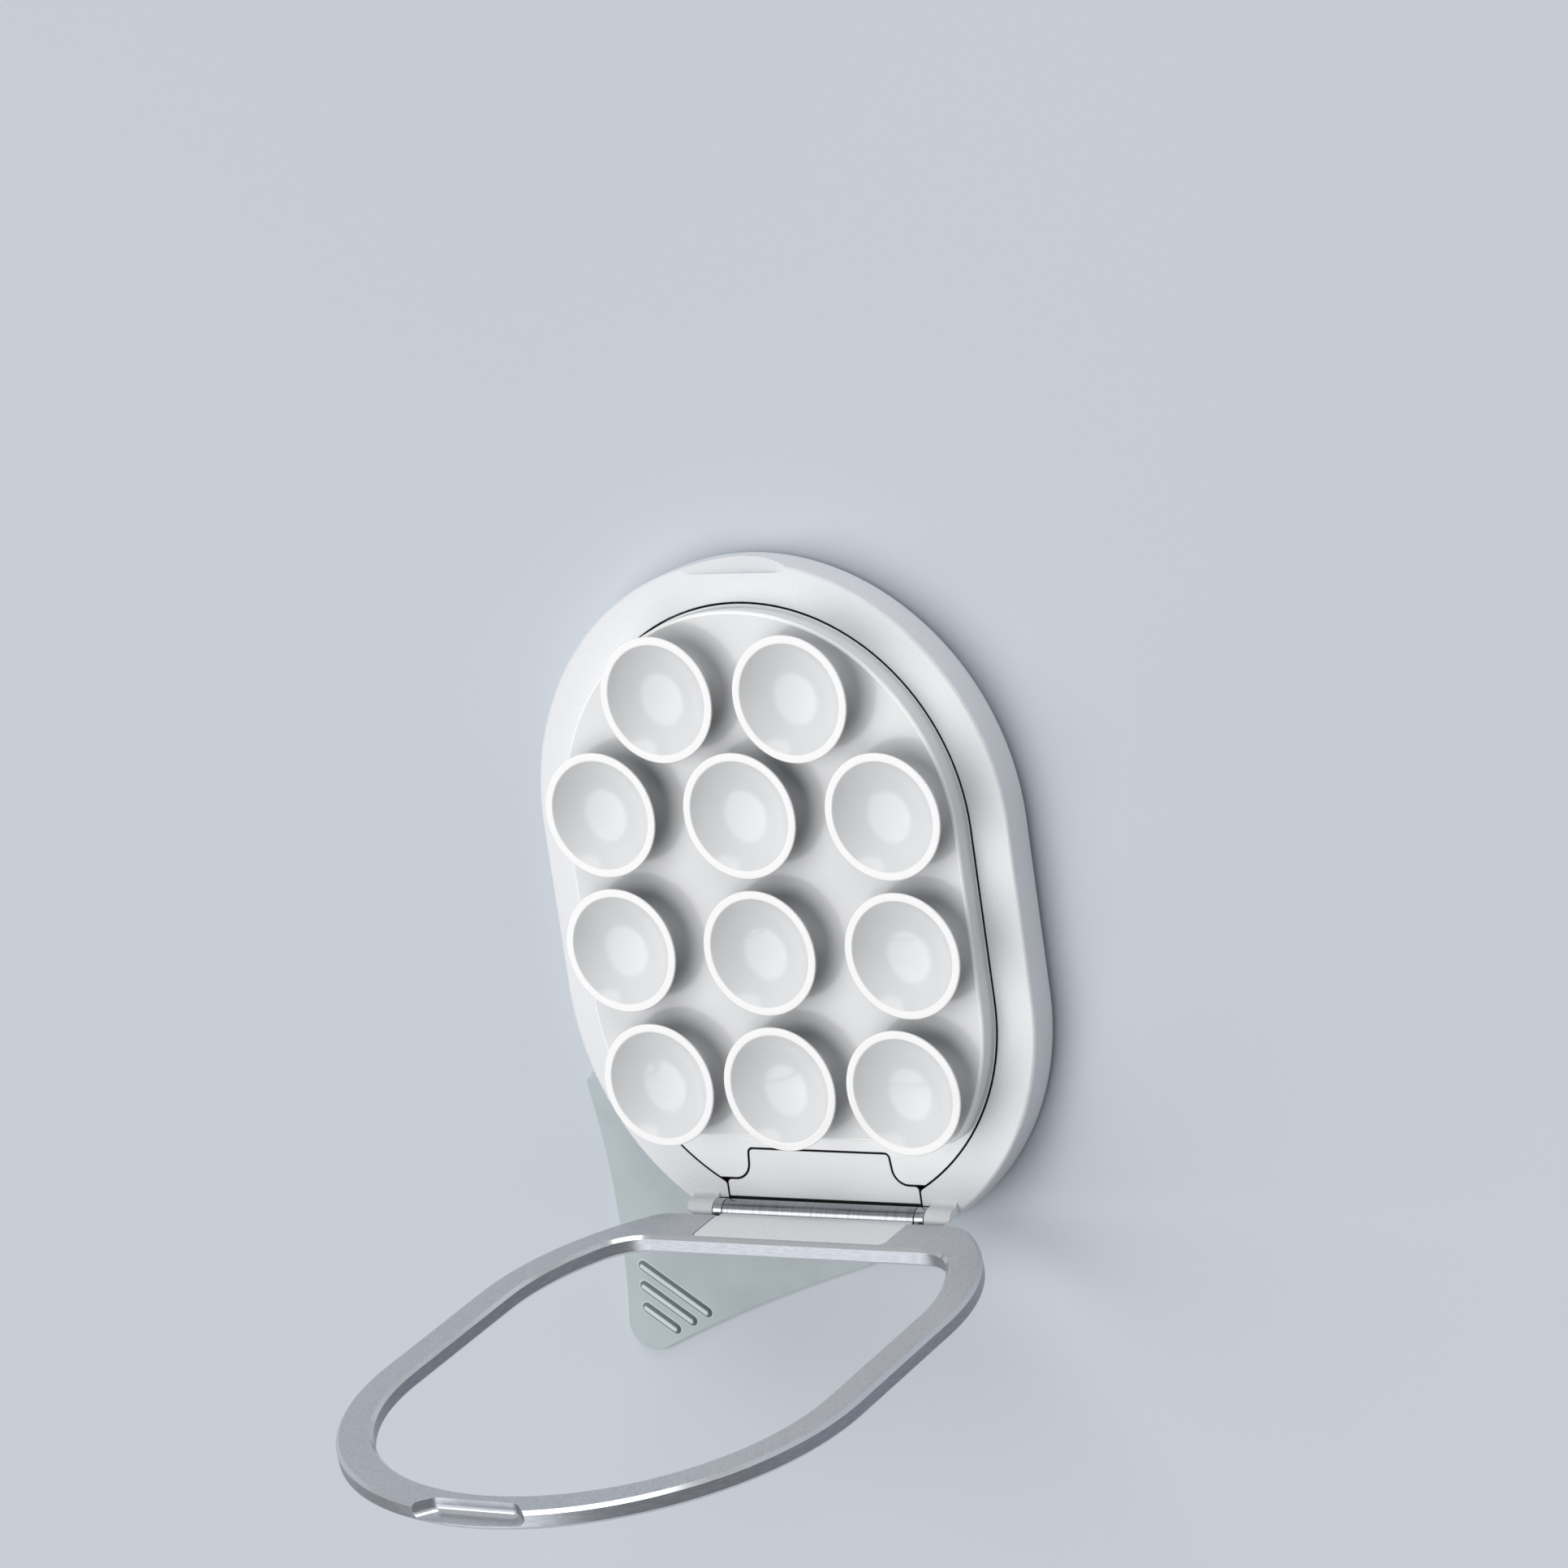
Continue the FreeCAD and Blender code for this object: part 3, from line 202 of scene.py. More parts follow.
class Shell:
    """A closed mesh grown loop by loop."""

    def __init__(self):
        self.bm = bmesh.new()

    def loop(self, points, height):
        return [self.bm.verts.new((x * MM, y * MM, height * MM)) for x, y in points]

    def bridge(self, a, b):
        """Faces between two loops with the same number of points."""
        count = len(a)
        faces = []
        for i in range(count):
            j = (i + 1) % count
            faces.append(self.bm.faces.new((a[i], a[j], b[j], b[i])))
        return faces

    def tower(self, loops):
        faces = []
        for a, b in zip(loops, loops[1:]):
            faces += self.bridge(a, b)
        return faces

    def flat(self, *loops):
        """Fills the flat region between an outer loop and any holes."""
        edges = []
        for verts in loops:
            for i, v in enumerate(verts):
                w = verts[(i + 1) % len(verts)]
                edge = self.bm.edges.get((v, w))
                edges.append(edge or self.bm.edges.new((v, w)))
        made = bmesh.ops.triangle_fill(self.bm, use_beauty=True, use_dissolve=False, edges=edges)
        return [part for part in made["geom"] if isinstance(part, bmesh.types.BMFace)]

    def peak(self, verts, point, height):
        """Closes a loop with a fan of faces to one point."""
        top = self.bm.verts.new((point[0] * MM, point[1] * MM, height * MM))
        for i, v in enumerate(verts):
            self.bm.faces.new((v, verts[(i + 1) % len(verts)], top))

    def finish(self, name, sharp_degrees):
        bmesh.ops.recalc_face_normals(self.bm, faces=self.bm.faces[:])
        mesh = bpy.data.meshes.new(name)
        self.bm.to_mesh(mesh)
        self.bm.free()
        mesh.shade_smooth()
        mesh.set_sharp_from_angle(angle=math.radians(sharp_degrees))
        piece = bpy.data.objects.new(name, mesh)
        bpy.context.scene.collection.objects.link(piece)
        return piece


# Silicone pad with eleven cups

def pad_outline(shrink):
    """The slab's outline moved inwards: a stadium cut straight at the hinge end."""
    radius = PAD_RADIUS - shrink
    corner = PAD_CORNER - shrink
    low = PAD_END + PAD_CORNER
    drop = low + ARC_Y
    side = math.sqrt((PAD_RADIUS - PAD_CORNER) ** 2 - drop ** 2)
    turn = -math.degrees(math.atan2(drop, side))
    points = arc(HIGH_CENTRE, radius, 0, 180, steps=96)
    points += run((-radius, ARC_Y), (-radius, -ARC_Y), steps=14)
    points += arc(LOW_CENTRE, radius, 180, 180 + turn, steps=20)
    points += arc((-side, low), corner, 180 + turn, 270, steps=10)[1:]
    points += run((-side, low - corner), (side, low - corner), steps=26)
    points += arc((side, low), corner, 270, 360 - turn, steps=10)
    points += arc(LOW_CENTRE, radius, 360 - turn, 360, steps=20)[1:]
    points += run((radius, -ARC_Y), (radius, ARC_Y), steps=14)
    return points


def cup_profile():
    """Radius and height above the pad, from the foot over the lip down into the bowl."""
    under = CUP_HEIGHT - LIP_EDGE
    spread = CUP_RADIUS - CUP_STEM
    flare = (spread ** 2 + under ** 2) / (2 * spread)

    def flare_at(height):
        return CUP_STEM + flare - math.sqrt(flare ** 2 - height ** 2)

    foot = flare_at(CUP_FOOT) + CUP_FOOT
    profile = [(foot + CUP_SKIRT, 0.0)]
    profile += arc((foot, CUP_FOOT), CUP_FOOT, 270, 180, steps=6)
    for i in range(1, FLARE_STEPS + 1):
        height = CUP_FOOT + (under - LIP_GAP - CUP_FOOT) * i / FLARE_STEPS
        profile.append((flare_at(height), height))
    profile += [(CUP_RADIUS - inwards, under + up) for inwards, up in LIP_UNDERSIDE]
    corner = (CUP_RADIUS - LIP_CORNER, CUP_HEIGHT - LIP_CORNER)
    profile += arc(corner, LIP_CORNER, 0, 90, steps=5)

    mouth = CUP_RADIUS - LIP_WIDTH
    ball = (mouth ** 2 + BOWL_DEPTH ** 2) / (2 * BOWL_DEPTH)
    slope = math.degrees(math.asin(mouth / ball))
    reach = MOUTH_ROUND * math.tan(math.radians(slope / 2))
    profile.append((CUP_RADIUS - LIP_LEVEL_START, CUP_HEIGHT))
    profile.append((mouth + reach + LIP_LEVEL_END, CUP_HEIGHT))
    turn_in = (mouth + reach, CUP_HEIGHT - MOUTH_ROUND)
    profile += arc(turn_in, MOUTH_ROUND, 90, 90 + slope, steps=5)
    middle = (0, CUP_HEIGHT - BOWL_DEPTH + ball)
    profile += arc(middle, ball, 270 + slope - MOUTH_TRIM, 270 + POLE_TRIM, steps=20)
    return profile


def ring_points(centre, radius, count):
    turns = [2 * math.pi * i / count for i in range(count)]
    return [(centre[0] + radius * math.cos(a), centre[1] + radius * math.sin(a)) for a in turns]


def silicone_pad():
    shell = Shell()
    foot = pad_outline(0)
    loops = [shell.loop(foot, PAD_BASE), shell.loop(foot, PAD_BASE + PAD_WALL)]
    for shrink, drop in edge_round(PAD_EDGE, steps=6):
        loops.append(shell.loop(pad_outline(shrink), PAD_TOP - drop))
    loops.append(shell.loop(pad_outline(PAD_EDGE + PAD_MARGIN), PAD_TOP))
    shell.tower(loops)
    profile = cup_profile()
    holes = []
    for centre in CUP_CENTRES:
        rings = [
            shell.loop(ring_points(centre, radius, CUP_SEGMENTS), PAD_TOP + height)
            for radius, height in profile
        ]
        shell.tower(rings)
        shell.peak(rings[-1], centre, PAD_TOP + CUP_HEIGHT - BOWL_DEPTH)
        holes.append(rings[0])
    shell.flat(loops[-1], *holes)
    shell.flat(loops[0])
    return shell.finish("silicone_pad", sharp_degrees=40)


# Adhesive sheet with a ridged pull tab

def on_tab(x, y):
    """A point of the tab's own axes, in the shared frame."""
    c = math.cos(TAB_TURN)
    s = math.sin(TAB_TURN)
    return (x * c - y * s, -ARC_Y + x * s + y * c)


def half_way(corner):
    """The point half-way from the lower arc centre to a corner of the tab's root."""
    return (corner[0] / 2, corner[1] / 2)


def hollow_centre(corner, radius):
    """Centre of the hollow edge that runs from a root corner and meets the round tip."""
    away = Vector(corner) - Vector(TAB_TIP)
    reach = radius + TAB_TIP_RADIUS
    along = (reach ** 2 - radius ** 2 + away.length_squared) / (2 * away.length)
    across = math.sqrt(reach ** 2 - along ** 2)
    unit = away.normalized()
    sign = 1 if corner[1] > TAB_TIP[1] else -1
    return (
        TAB_TIP[0] + along * unit.x - sign * across * unit.y,
        TAB_TIP[1] + along * unit.y + sign * across * unit.x,
    )


def tip_towards(centre):
    """The point of the round tip that faces a centre."""
    tip = Vector(TAB_TIP)
    return tip + (Vector(centre) - tip).normalized() * TAB_TIP_RADIUS


def tab_path():
    """The tab's edge from its left corner round the tip to its right corner."""
    left_centre = hollow_centre(TAB_LEFT, TAB_LEFT_CURVE)
    right_centre = hollow_centre(TAB_RIGHT, TAB_RIGHT_CURVE)
    tip_left = tip_towards(left_centre)
    tip_right = tip_towards(right_centre)
    left_side = sweep(left_centre, TAB_LEFT_CURVE, TAB_LEFT, tip_left, steps=44)
    begin = bearing(TAB_TIP, tip_left)
    turn = (bearing(TAB_TIP, tip_right) - begin) % 360
    nose = arc(TAB_TIP, TAB_TIP_RADIUS, begin, begin + turn, steps=22)
    right_side = sweep(right_centre, TAB_RIGHT_CURVE, tip_right, TAB_RIGHT, steps=44)
    # The rounded corners take the place of the two outermost points of each side.
    path = rounded(half_way(TAB_LEFT), TAB_LEFT, left_side[2], TAB_CORNER, steps=5)
    path += left_side[2:-1] + nose + right_side[1:-2]
    path += rounded(right_side[-3], TAB_RIGHT, half_way(TAB_RIGHT), TAB_CORNER, steps=5)
    return [on_tab(*p) for p in path]


def tab_roots():
    """Where the tab leaves the sheet: on its round side, and on its straight end."""
    start = Vector(on_tab(*half_way(TAB_LEFT)))
    way = (Vector(on_tab(*TAB_LEFT)) - start).normalized()
    from_centre = start - Vector(LOW_CENTRE)
    b = from_centre.dot(way)
    c = from_centre.length_squared - GEL_RADIUS ** 2
    left = start + way * (-b + math.sqrt(b * b - c))
    top = Vector(on_tab(*half_way(TAB_RIGHT)))
    foot = Vector(on_tab(*TAB_RIGHT))
    right = top + (foot - top) * (GEL_END - top.y) / (foot.y - top.y)
    return tuple(left), tuple(right)


def gel_outline():
    """The sheet's outline with its tab: a stadium cut straight at the hinge end."""
    tab = tab_path()
    left_root, right_root = tab_roots()
    middle = Vector(LOW_CENTRE)
    half = math.sqrt(GEL_RADIUS ** 2 - (GEL_END + ARC_Y) ** 2)
    end_corner = (half, GEL_END)
    points = arc(HIGH_CENTRE, GEL_RADIUS, 0, 180, steps=90)
    points += run((-GEL_RADIUS, ARC_Y), (-GEL_RADIUS, -ARC_Y), steps=18)
    points += arc(LOW_CENTRE, GEL_RADIUS, 180, bearing(middle, left_root) % 360, steps=14)
    points += run(left_root, tab[0], steps=8)
    points += tab
    points += run(tab[-1], right_root, steps=10)
    points.append(right_root)
    points += run(right_root, end_corner, steps=14)
    points += arc(LOW_CENTRE, GEL_RADIUS, bearing(middle, end_corner), 0, steps=40)
    points += run((GEL_RADIUS, -ARC_Y), (GEL_RADIUS, ARC_Y), steps=18)
    return points


def ridge_outline(station, half, radius):
    points = arc((-station, half), radius, 0, 180, steps=12)
    points += run((-station - radius, half), (-station - radius, -half), steps=8)
    points += arc((-station, -half), radius, 180, 360, steps=12)
    points += run((-station + radius, -half), (-station + radius, half), steps=8)
    return [on_tab(*p) for p in points]


def gel_pad():
    """The sheet, with its ridges in the second material slot."""
    shell = Shell()
    outline = gel_outline()
    loops = [shell.loop(outline, 0.0)]
    for shrink, drop in edge_round(GEL_EDGE, steps=4):
        loops.append(shell.loop(inset(outline, shrink), GEL_TOP - drop))
    loops.append(shell.loop(inset(outline, GEL_EDGE + GEL_MARGIN), GEL_TOP))
    shell.tower(loops)
    holes = []
    for station, half in RIDGES:
        rings = [
            shell.loop(ridge_outline(station, half, radius), GEL_TOP + rise)
            for radius, rise in RIDGE_PROFILE
        ]
        faces = shell.tower(rings) + shell.flat(rings[-1])
        for face in faces:
            face.material_index = 1
        holes.append(rings[0])
    shell.flat(loops[-1], *holes)
    shell.flat(loops[0])
    return shell.finish("gel_pad", sharp_degrees=50)


# Materials

def srgb(*values):
    """A colour written as 0 to 255 values, as linear light."""
    out = []
    for v in values:
        v = v / 255
        out.append(v / 12.92 if v <= 0.04045 else ((v + 0.055) / 1.055) ** 2.4)
    return (*out, 1.0)


# Painted shade for the seam walls, the trough under the hinge barrel and the seam edges.
SEAM_SHADE = srgb(46, 48, 51)

# Parts of a noise's range that are stretched to run from 0 to 1.
NOISE_RANGE = (0.3, 0.7)
SPECKLE_RANGE = (0.35, 0.65)
CLOUD_RANGE = (0.35, 0.7)
SPRAY_GRAIN = 5200

# Masks by place: the millimetres at which each is 0 and 1.
# SEAM_REACH and the BAY and TROUGH places bound painted shade in the frame's seams and trough.
SEAM_REACH = (24.2, 24.0)
BAY_START_Y = (-27.4, -27.6)
BAY_END_Y = (-32.9, -32.5)
BAY_HALF_X = (12.5, 12.4)
TROUGH_Z = (4.2, 4.1)
# FLANK_Z bounds painted shade under the cup flares; PAD_EDGE_FROM_Z, PAD_EDGE_TO_Z and LIP_Z
# bound painted highlights.
FLANK_Z = (7.0, 9.2)
PAD_EDGE_FROM_Z = (6.50, 6.56)
PAD_EDGE_TO_Z = (6.7795, 6.7775)
LIP_Z = (9.72, 9.80)
BARREL_TO_PLATE = (1.30, 1.36)

# Masks by facing: the share of the normal along an axis at which each is 0 and 1.
UPRIGHT = (0.55, 0.3)
LEVEL = (0.5, 0.7)
OVERHANG = (-0.08, -0.35)
TURNED_EDGE = (0.95, 0.8)
RING_FACE = (0.86, 0.95)
RING_WALL = (0.42, 0.25)
# The same for the softened normal along the true one, beside an edge: there it puts painted shade
# along the seams.
SEAM_SHADE_EDGE = (0.97, 0.85)


class Paint:
    """A principled material with its noise, bump and masks in object space."""

    SOCKETS = {
        "rough": "Roughness",
        "metal": "Metallic",
        "ior": "IOR",
        "specular": "Specular IOR Level",
        "coat": "Coat Weight",
        "coat_rough": "Coat Roughness",
        "glow": "Subsurface Weight",
        "glow_reach": "Subsurface Radius",
        "glow_scale": "Subsurface Scale",
    }

    def __init__(self, name):
        self.material = bpy.data.materials.new(name)
        self.material.use_nodes = True
        self.tree = self.material.node_tree
        self.shader = next(n for n in self.tree.nodes if n.type == "BSDF_PRINCIPLED")
        self.place = self.node("ShaderNodeTexCoord")
        self.splits = {}
        self.normal = None

    def node(self, kind, **settings):
        made = self.tree.nodes.new(kind)
        for key, value in settings.items():
            setattr(made, key, value)
        return made

    def link(self, source, target):
        self.tree.links.new(source, target)

    def put(self, **values):
        for key, value in values.items():
            self.shader.inputs[self.SOCKETS[key]].default_value = value

    def noise(self, scale, detail, rough, stretch=None):
        """Noise in the object's own metres; a small stretch draws it out along an axis."""
        made = self.node("ShaderNodeTexNoise")
        made.inputs["Scale"].default_value = scale
        made.inputs["Detail"].default_value = detail
        made.inputs["Roughness"].default_value = rough
        source = self.place.outputs["Object"]
        if stretch:
            warp = self.node("ShaderNodeMapping")
            warp.inputs["Scale"].default_value = stretch
            self.link(source, warp.inputs["Vector"])
            source = warp.outputs["Vector"]
        self.link(source, made.inputs["Vector"])
        return made.outputs["Fac"]

    def ramp(self, source, low, high, to_low=0.0, to_high=1.0, smooth=True):
        made = self.node("ShaderNodeMapRange")
        made.interpolation_type = "SMOOTHSTEP" if smooth else "LINEAR"
        made.inputs["From Min"].default_value = low
        made.inputs["From Max"].default_value = high
        made.inputs["To Min"].default_value = to_low
        made.inputs["To Max"].default_value = to_high
        self.link(source, made.inputs["Value"])
        return made.outputs["Result"]

    def spread(self, noise, low=0.0, high=1.0):
        """A noise stretched to run from low to high."""
        return self.ramp(noise, *NOISE_RANGE, low, high)

    def band(self, source, edges, smooth=True):
        """A ramp between two places given in millimetres."""
        return self.ramp(source, edges[0] * MM, edges[1] * MM, smooth=smooth)

    def math(self, operation, a, b):
        made = self.node("ShaderNodeMath", operation=operation)
        for socket, value in zip(made.inputs, (a, b)):
            if isinstance(value, (int, float)):
                socket.default_value = value
            else:
                self.link(value, socket)
        return made.outputs["Value"]

    def plus(self, a, b):
        return self.math("ADD", a, b)

    def times(self, first, *others):
        for other in others:
            first = self.math("MULTIPLY", first, other)
        return first

    def size(self, value):
        """The value without its sign."""
        made = self.node("ShaderNodeMath", operation="ABSOLUTE")
        self.link(value, made.inputs[0])
        return made.outputs["Value"]

    def length(self, a, b):
        return self.math("POWER", self.plus(self.times(a, a), self.times(b, b)), 0.5)

    def mix(self, factor, a, b):
        made = self.node("ShaderNodeMix", data_type="RGBA")
        self.link(factor, made.inputs["Factor"])
        # A colour mix has its colours in sockets 6 and 7, and its result in socket 2.
        for socket, value in ((made.inputs[6], a), (made.inputs[7], b)):
            if isinstance(value, tuple):
                socket.default_value = value
            else:
                self.link(value, socket)
        return made.outputs[2]

    def part(self, vector, name):
        """One axis of the object's own coordinates or normal."""
        if vector not in self.splits:
            split = self.node("ShaderNodeSeparateXYZ")
            self.link(self.place.outputs[vector], split.inputs["Vector"])
            self.splits[vector] = split
        return self.splits[vector].outputs[name]

    def axis(self, name):
        return self.part("Object", name)

    def facing(self, name):
        return self.part("Normal", name)

    def round_edges(self, radius):
        made = self.node("ShaderNodeBevel", samples=4)
        made.inputs["Radius"].default_value = radius * MM
        self.normal = made.outputs["Normal"]

    def near_edge(self, away, beside):
        """1 beside the edges that round_edges softens, 0 away from them."""
        flat = self.node("ShaderNodeNewGeometry")
        dot = self.node("ShaderNodeVectorMath", operation="DOT_PRODUCT")
        self.link(self.normal, dot.inputs[0])
        self.link(flat.outputs["Normal"], dot.inputs[1])
        return self.ramp(dot.outputs["Value"], away, beside)

    def bump(self, height, depth, strength):
        made = self.node("ShaderNodeBump")
        made.inputs["Distance"].default_value = depth * MM
        made.inputs["Strength"].default_value = strength
        self.link(height, made.inputs["Height"])
        if self.normal:
            self.link(self.normal, made.inputs["Normal"])
        self.normal = made.outputs["Normal"]

    def finish(self, colour, rough=None, metal=None):
        sources = {
            "Base Color": colour,
            "Roughness": rough,
            "Metallic": metal,
            "Normal": self.normal,
        }
        for name, source in sources.items():
            if source is not None:
                self.link(source, self.shader.inputs[name])
        return self.material


def upright(paint):
    """1 on upright walls, 0 on faces that look up."""
    return paint.ramp(paint.facing("Z"), *UPRIGHT)


def frame_seam_shade(paint):
    """Painted shade: upright walls of the seams, and the trough under the hinge barrel."""
    past = paint.math("SUBTRACT", paint.size(paint.axis("Y")), ARC_Y * MM)
    reach = paint.length(paint.axis("X"), paint.math("MAXIMUM", past, 0.0))
    opening = paint.band(reach, SEAM_REACH, smooth=False)
    started = paint.band(paint.axis("Y"), BAY_START_Y, smooth=False)
    between = paint.band(paint.size(paint.axis("X")), BAY_HALF_X, smooth=False)
    inside = paint.band(paint.axis("Y"), BAY_END_Y)
    bay = paint.times(started, between, inside)
    walls = paint.times(upright(paint), paint.math("MAXIMUM", opening, bay))
    low = paint.band(paint.axis("Z"), TROUGH_Z, smooth=False)
    trough = paint.times(low, bay, paint.ramp(paint.facing("Z"), *LEVEL))
    return paint.math("MAXIMUM", walls, trough)


def sprayed(name, dark, light, seam_shade, seam_shade_edges=False):
    """Moulded shell with a fine sprayed satin finish and painted shade on the walls inside its
    seams.

    The seam mask picks the surfaces that face into the seams, from the paint's own position and
    normal, for painted shade.
    The outline flag darkens the piece's sharp edges too, as painted shade along the seams.
    """
    speckle_share = 0.7
    paint = Paint(name)
    paint.put(ior=1.5, coat=0.1, coat_rough=0.4)
    fine = paint.noise(scale=SPRAY_GRAIN, detail=2.0, rough=0.6)
    broad = paint.noise(scale=60, detail=3.0, rough=0.5)
    speckle = paint.ramp(fine, *SPECKLE_RANGE)
    cloud = paint.spread(broad)
    shade = paint.plus(
        paint.times(speckle, speckle_share), paint.times(cloud, 1 - speckle_share)
    )
    colour = paint.mix(shade, dark, light)
    # Painted shade on the walls inside the seams.
    colour = paint.mix(seam_shade(paint), colour, SEAM_SHADE)
    rough = paint.spread(fine, 0.38, 0.48)
    paint.round_edges(0.12)
    # Painted shade along the sharp edges by the seams.
    if seam_shade_edges:
        colour = paint.mix(paint.near_edge(*SEAM_SHADE_EDGE), colour, SEAM_SHADE)
    paint.bump(fine, depth=0.004, strength=0.45)
    return paint.finish(colour, rough)


def silicone():
    """Soft white silicone, with painted highlights on the lips and the slab's edge and painted
    shade under the flares.
    """
    bright = srgb(243, 243, 244)
    slab_edge_highlight_tone = srgb(250, 250, 250)
    under_flare_shade = srgb(120, 122, 126)
    paint = Paint("silicone_white")
    paint.put(ior=1.5, glow=0.08, glow_reach=(1.0, 0.95, 0.92), glow_scale=0.5 * MM)
    fine = paint.noise(scale=2600, detail=3.0, rough=0.6)
    broad = paint.noise(scale=140, detail=2.0, rough=0.5)
    body = paint.mix(paint.spread(broad), srgb(222, 223, 225), srgb(226, 227, 229))
    # Painted shade on the flares' undersides.
    high = paint.band(paint.axis("Z"), FLANK_Z)
    flank_shade = paint.times(high, paint.ramp(paint.facing("Z"), *OVERHANG))
    body = paint.mix(flank_shade, body, under_flare_shade)
    # Painted highlight along the slab's rounded edge.
    slab_edge_highlight = paint.times(
        paint.band(paint.axis("Z"), PAD_EDGE_FROM_Z), paint.band(paint.axis("Z"), PAD_EDGE_TO_Z)
    )
    body = paint.mix(slab_edge_highlight, body, slab_edge_highlight_tone)
    # Painted highlight: the lips lighter than the body.
    colour = paint.mix(paint.band(paint.axis("Z"), LIP_Z), body, bright)
    rough = paint.spread(fine, 0.14, 0.17)
    paint.bump(fine, depth=0.001, strength=0.1)
    return paint.finish(colour, rough)


def gel(name, dark, light, rim_painted_light):
    """Frosted grey-green gel, whose steep rounded edges and flanks take a separate painted tone:
    painted light given by each call.
    """
    paint = Paint(name)
    paint.put(ior=1.46, coat=0.1, coat_rough=0.3)
    paint.put(glow=0.15, glow_reach=(0.9, 1.0, 1.0), glow_scale=0.4 * MM)
    fine = paint.noise(scale=3200, detail=3.0, rough=0.6)
    broad = paint.noise(scale=90, detail=3.0, rough=0.5)
    body = paint.mix(paint.spread(broad), dark, light)
    # Painted light on the steep faces: a highlight on the sheet, shade on the ridges.
    colour = paint.mix(paint.ramp(paint.facing("Z"), *TURNED_EDGE), body, rim_painted_light)
    rough = paint.spread(fine, 0.38, 0.48)
    paint.bump(fine, depth=0.005, strength=0.5)
    return paint.finish(colour, rough)


def brushed(name, dark, light, smoothest, roughest, stretch):
    """Steel with fine brushing, whose lines run along the axes that stretch makes small."""
    paint = Paint(name)
    paint.put(metal=1.0)
    lines = paint.noise(scale=2400, detail=4.0, rough=0.65, stretch=stretch)
    fine = paint.noise(scale=SPRAY_GRAIN, detail=2.0, rough=0.5)
    colour = paint.mix(paint.spread(lines), dark, light)
    rough = paint.spread(lines, smoothest, roughest)
    paint.round_edges(0.08)
    paint.bump(lines, depth=0.003, strength=0.5)
    paint.bump(fine, depth=0.003, strength=0.4)
    return paint.finish(colour, rough)


def leaf_metal():
    """Sprayed plate with a painted highlight on its edges, on a turned steel barrel."""
    plate_edge_highlight = srgb(250, 250, 250)
    plate_dullness = 0.22
    paint = Paint("leaf_and_barrel")
    across = paint.plus(paint.axis("Y"), -HINGE_Y * MM)
    above = paint.plus(paint.axis("Z"), -HINGE_Z * MM)
    plate = paint.band(paint.length(across, above), BARREL_TO_PLATE, smooth=False)
    fine = paint.noise(scale=SPRAY_GRAIN, detail=2.0, rough=0.6)
    turned = paint.noise(scale=SPRAY_GRAIN, detail=2.0, rough=0.5, stretch=(1.0, 0.05, 0.05))
    steel = paint.mix(paint.spread(turned), srgb(150, 152, 157), srgb(166, 168, 172))
    speckle = paint.ramp(fine, *SPECKLE_RANGE)
    spray = paint.mix(speckle, srgb(222, 224, 227), srgb(231, 232, 235))
    # Painted highlight on the plate's edges.
    edge = paint.ramp(paint.size(paint.facing("Y")), *TURNED_EDGE)
    spray = paint.mix(edge, spray, plate_edge_highlight)
    colour = paint.mix(plate, steel, spray)
    metal = paint.ramp(plate, 0.0, 1.0, 1.0, 0.0, smooth=False)
    polish = paint.spread(turned, 0.19, 0.22)
    rough = paint.plus(polish, paint.times(plate, plate_dullness))
    paint.round_edges(0.08)
    paint.bump(paint.times(fine, plate), depth=0.003, strength=0.4)
    return paint.finish(colour, rough, metal)


def ring_metal():
    """Bead-blasted aluminium faces; bright cut chamfers, made lighter still as a painted
    highlight; satin side walls, darkened as painted shade.
    """
    cut_chamfer_and_highlight = srgb(214, 216, 220)
    cloud_tone = srgb(198, 200, 205)
    cloud_share = 0.3
    wall_dullness = 0.6
    least_rough = 0.20
    paint = Paint("ring_aluminium")
    paint.put(metal=0.9)
    blast = paint.noise(scale=4200, detail=2.0, rough=0.6)
    broad = paint.noise(scale=70, detail=2.0, rough=0.5)
    streak = paint.noise(scale=6000, detail=2.0, rough=0.5, stretch=(0.15, 1.0, 0.15))
    tilt = paint.size(paint.facing("Y"))
    flat = paint.ramp(tilt, *RING_FACE)
    wall = paint.ramp(tilt, *RING_WALL)
    face = paint.mix(paint.spread(blast), srgb(186, 189, 194), srgb(206, 208, 212))
    face = paint.mix(paint.ramp(broad, *CLOUD_RANGE, 0.0, cloud_share), face, cloud_tone)
    # Painted shade: the side walls take a darker tone than the faces.
    side = paint.mix(paint.spread(streak), srgb(140, 143, 150), srgb(152, 155, 161))
    # Painted highlight, in part: the chamfers take the lightest tone.
    colour = paint.mix(flat, cut_chamfer_and_highlight, face)
    colour = paint.mix(wall, colour, side)
    dull = paint.math("MAXIMUM", flat, paint.times(wall, wall_dullness))
    grain = paint.spread(blast, 0.20, 0.30)
    rough = paint.plus(paint.times(dull, grain), least_rough)
    paint.round_edges(0.06)
    paint.bump(blast, depth=0.004, strength=0.5)
    return paint.finish(colour, rough)


def floor_paint():
    paint = Paint("floor_pale")
    paint.put(rough=0.75, specular=0.2)
    broad = paint.noise(scale=3, detail=2.0, rough=0.5)
    colour = paint.mix(paint.spread(broad), srgb(200, 206, 214), srgb(203, 209, 217))
    return paint.finish(colour)


def dress(node, material):
    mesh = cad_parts[node].data
    mesh.materials.clear()
    mesh.materials.append(material)


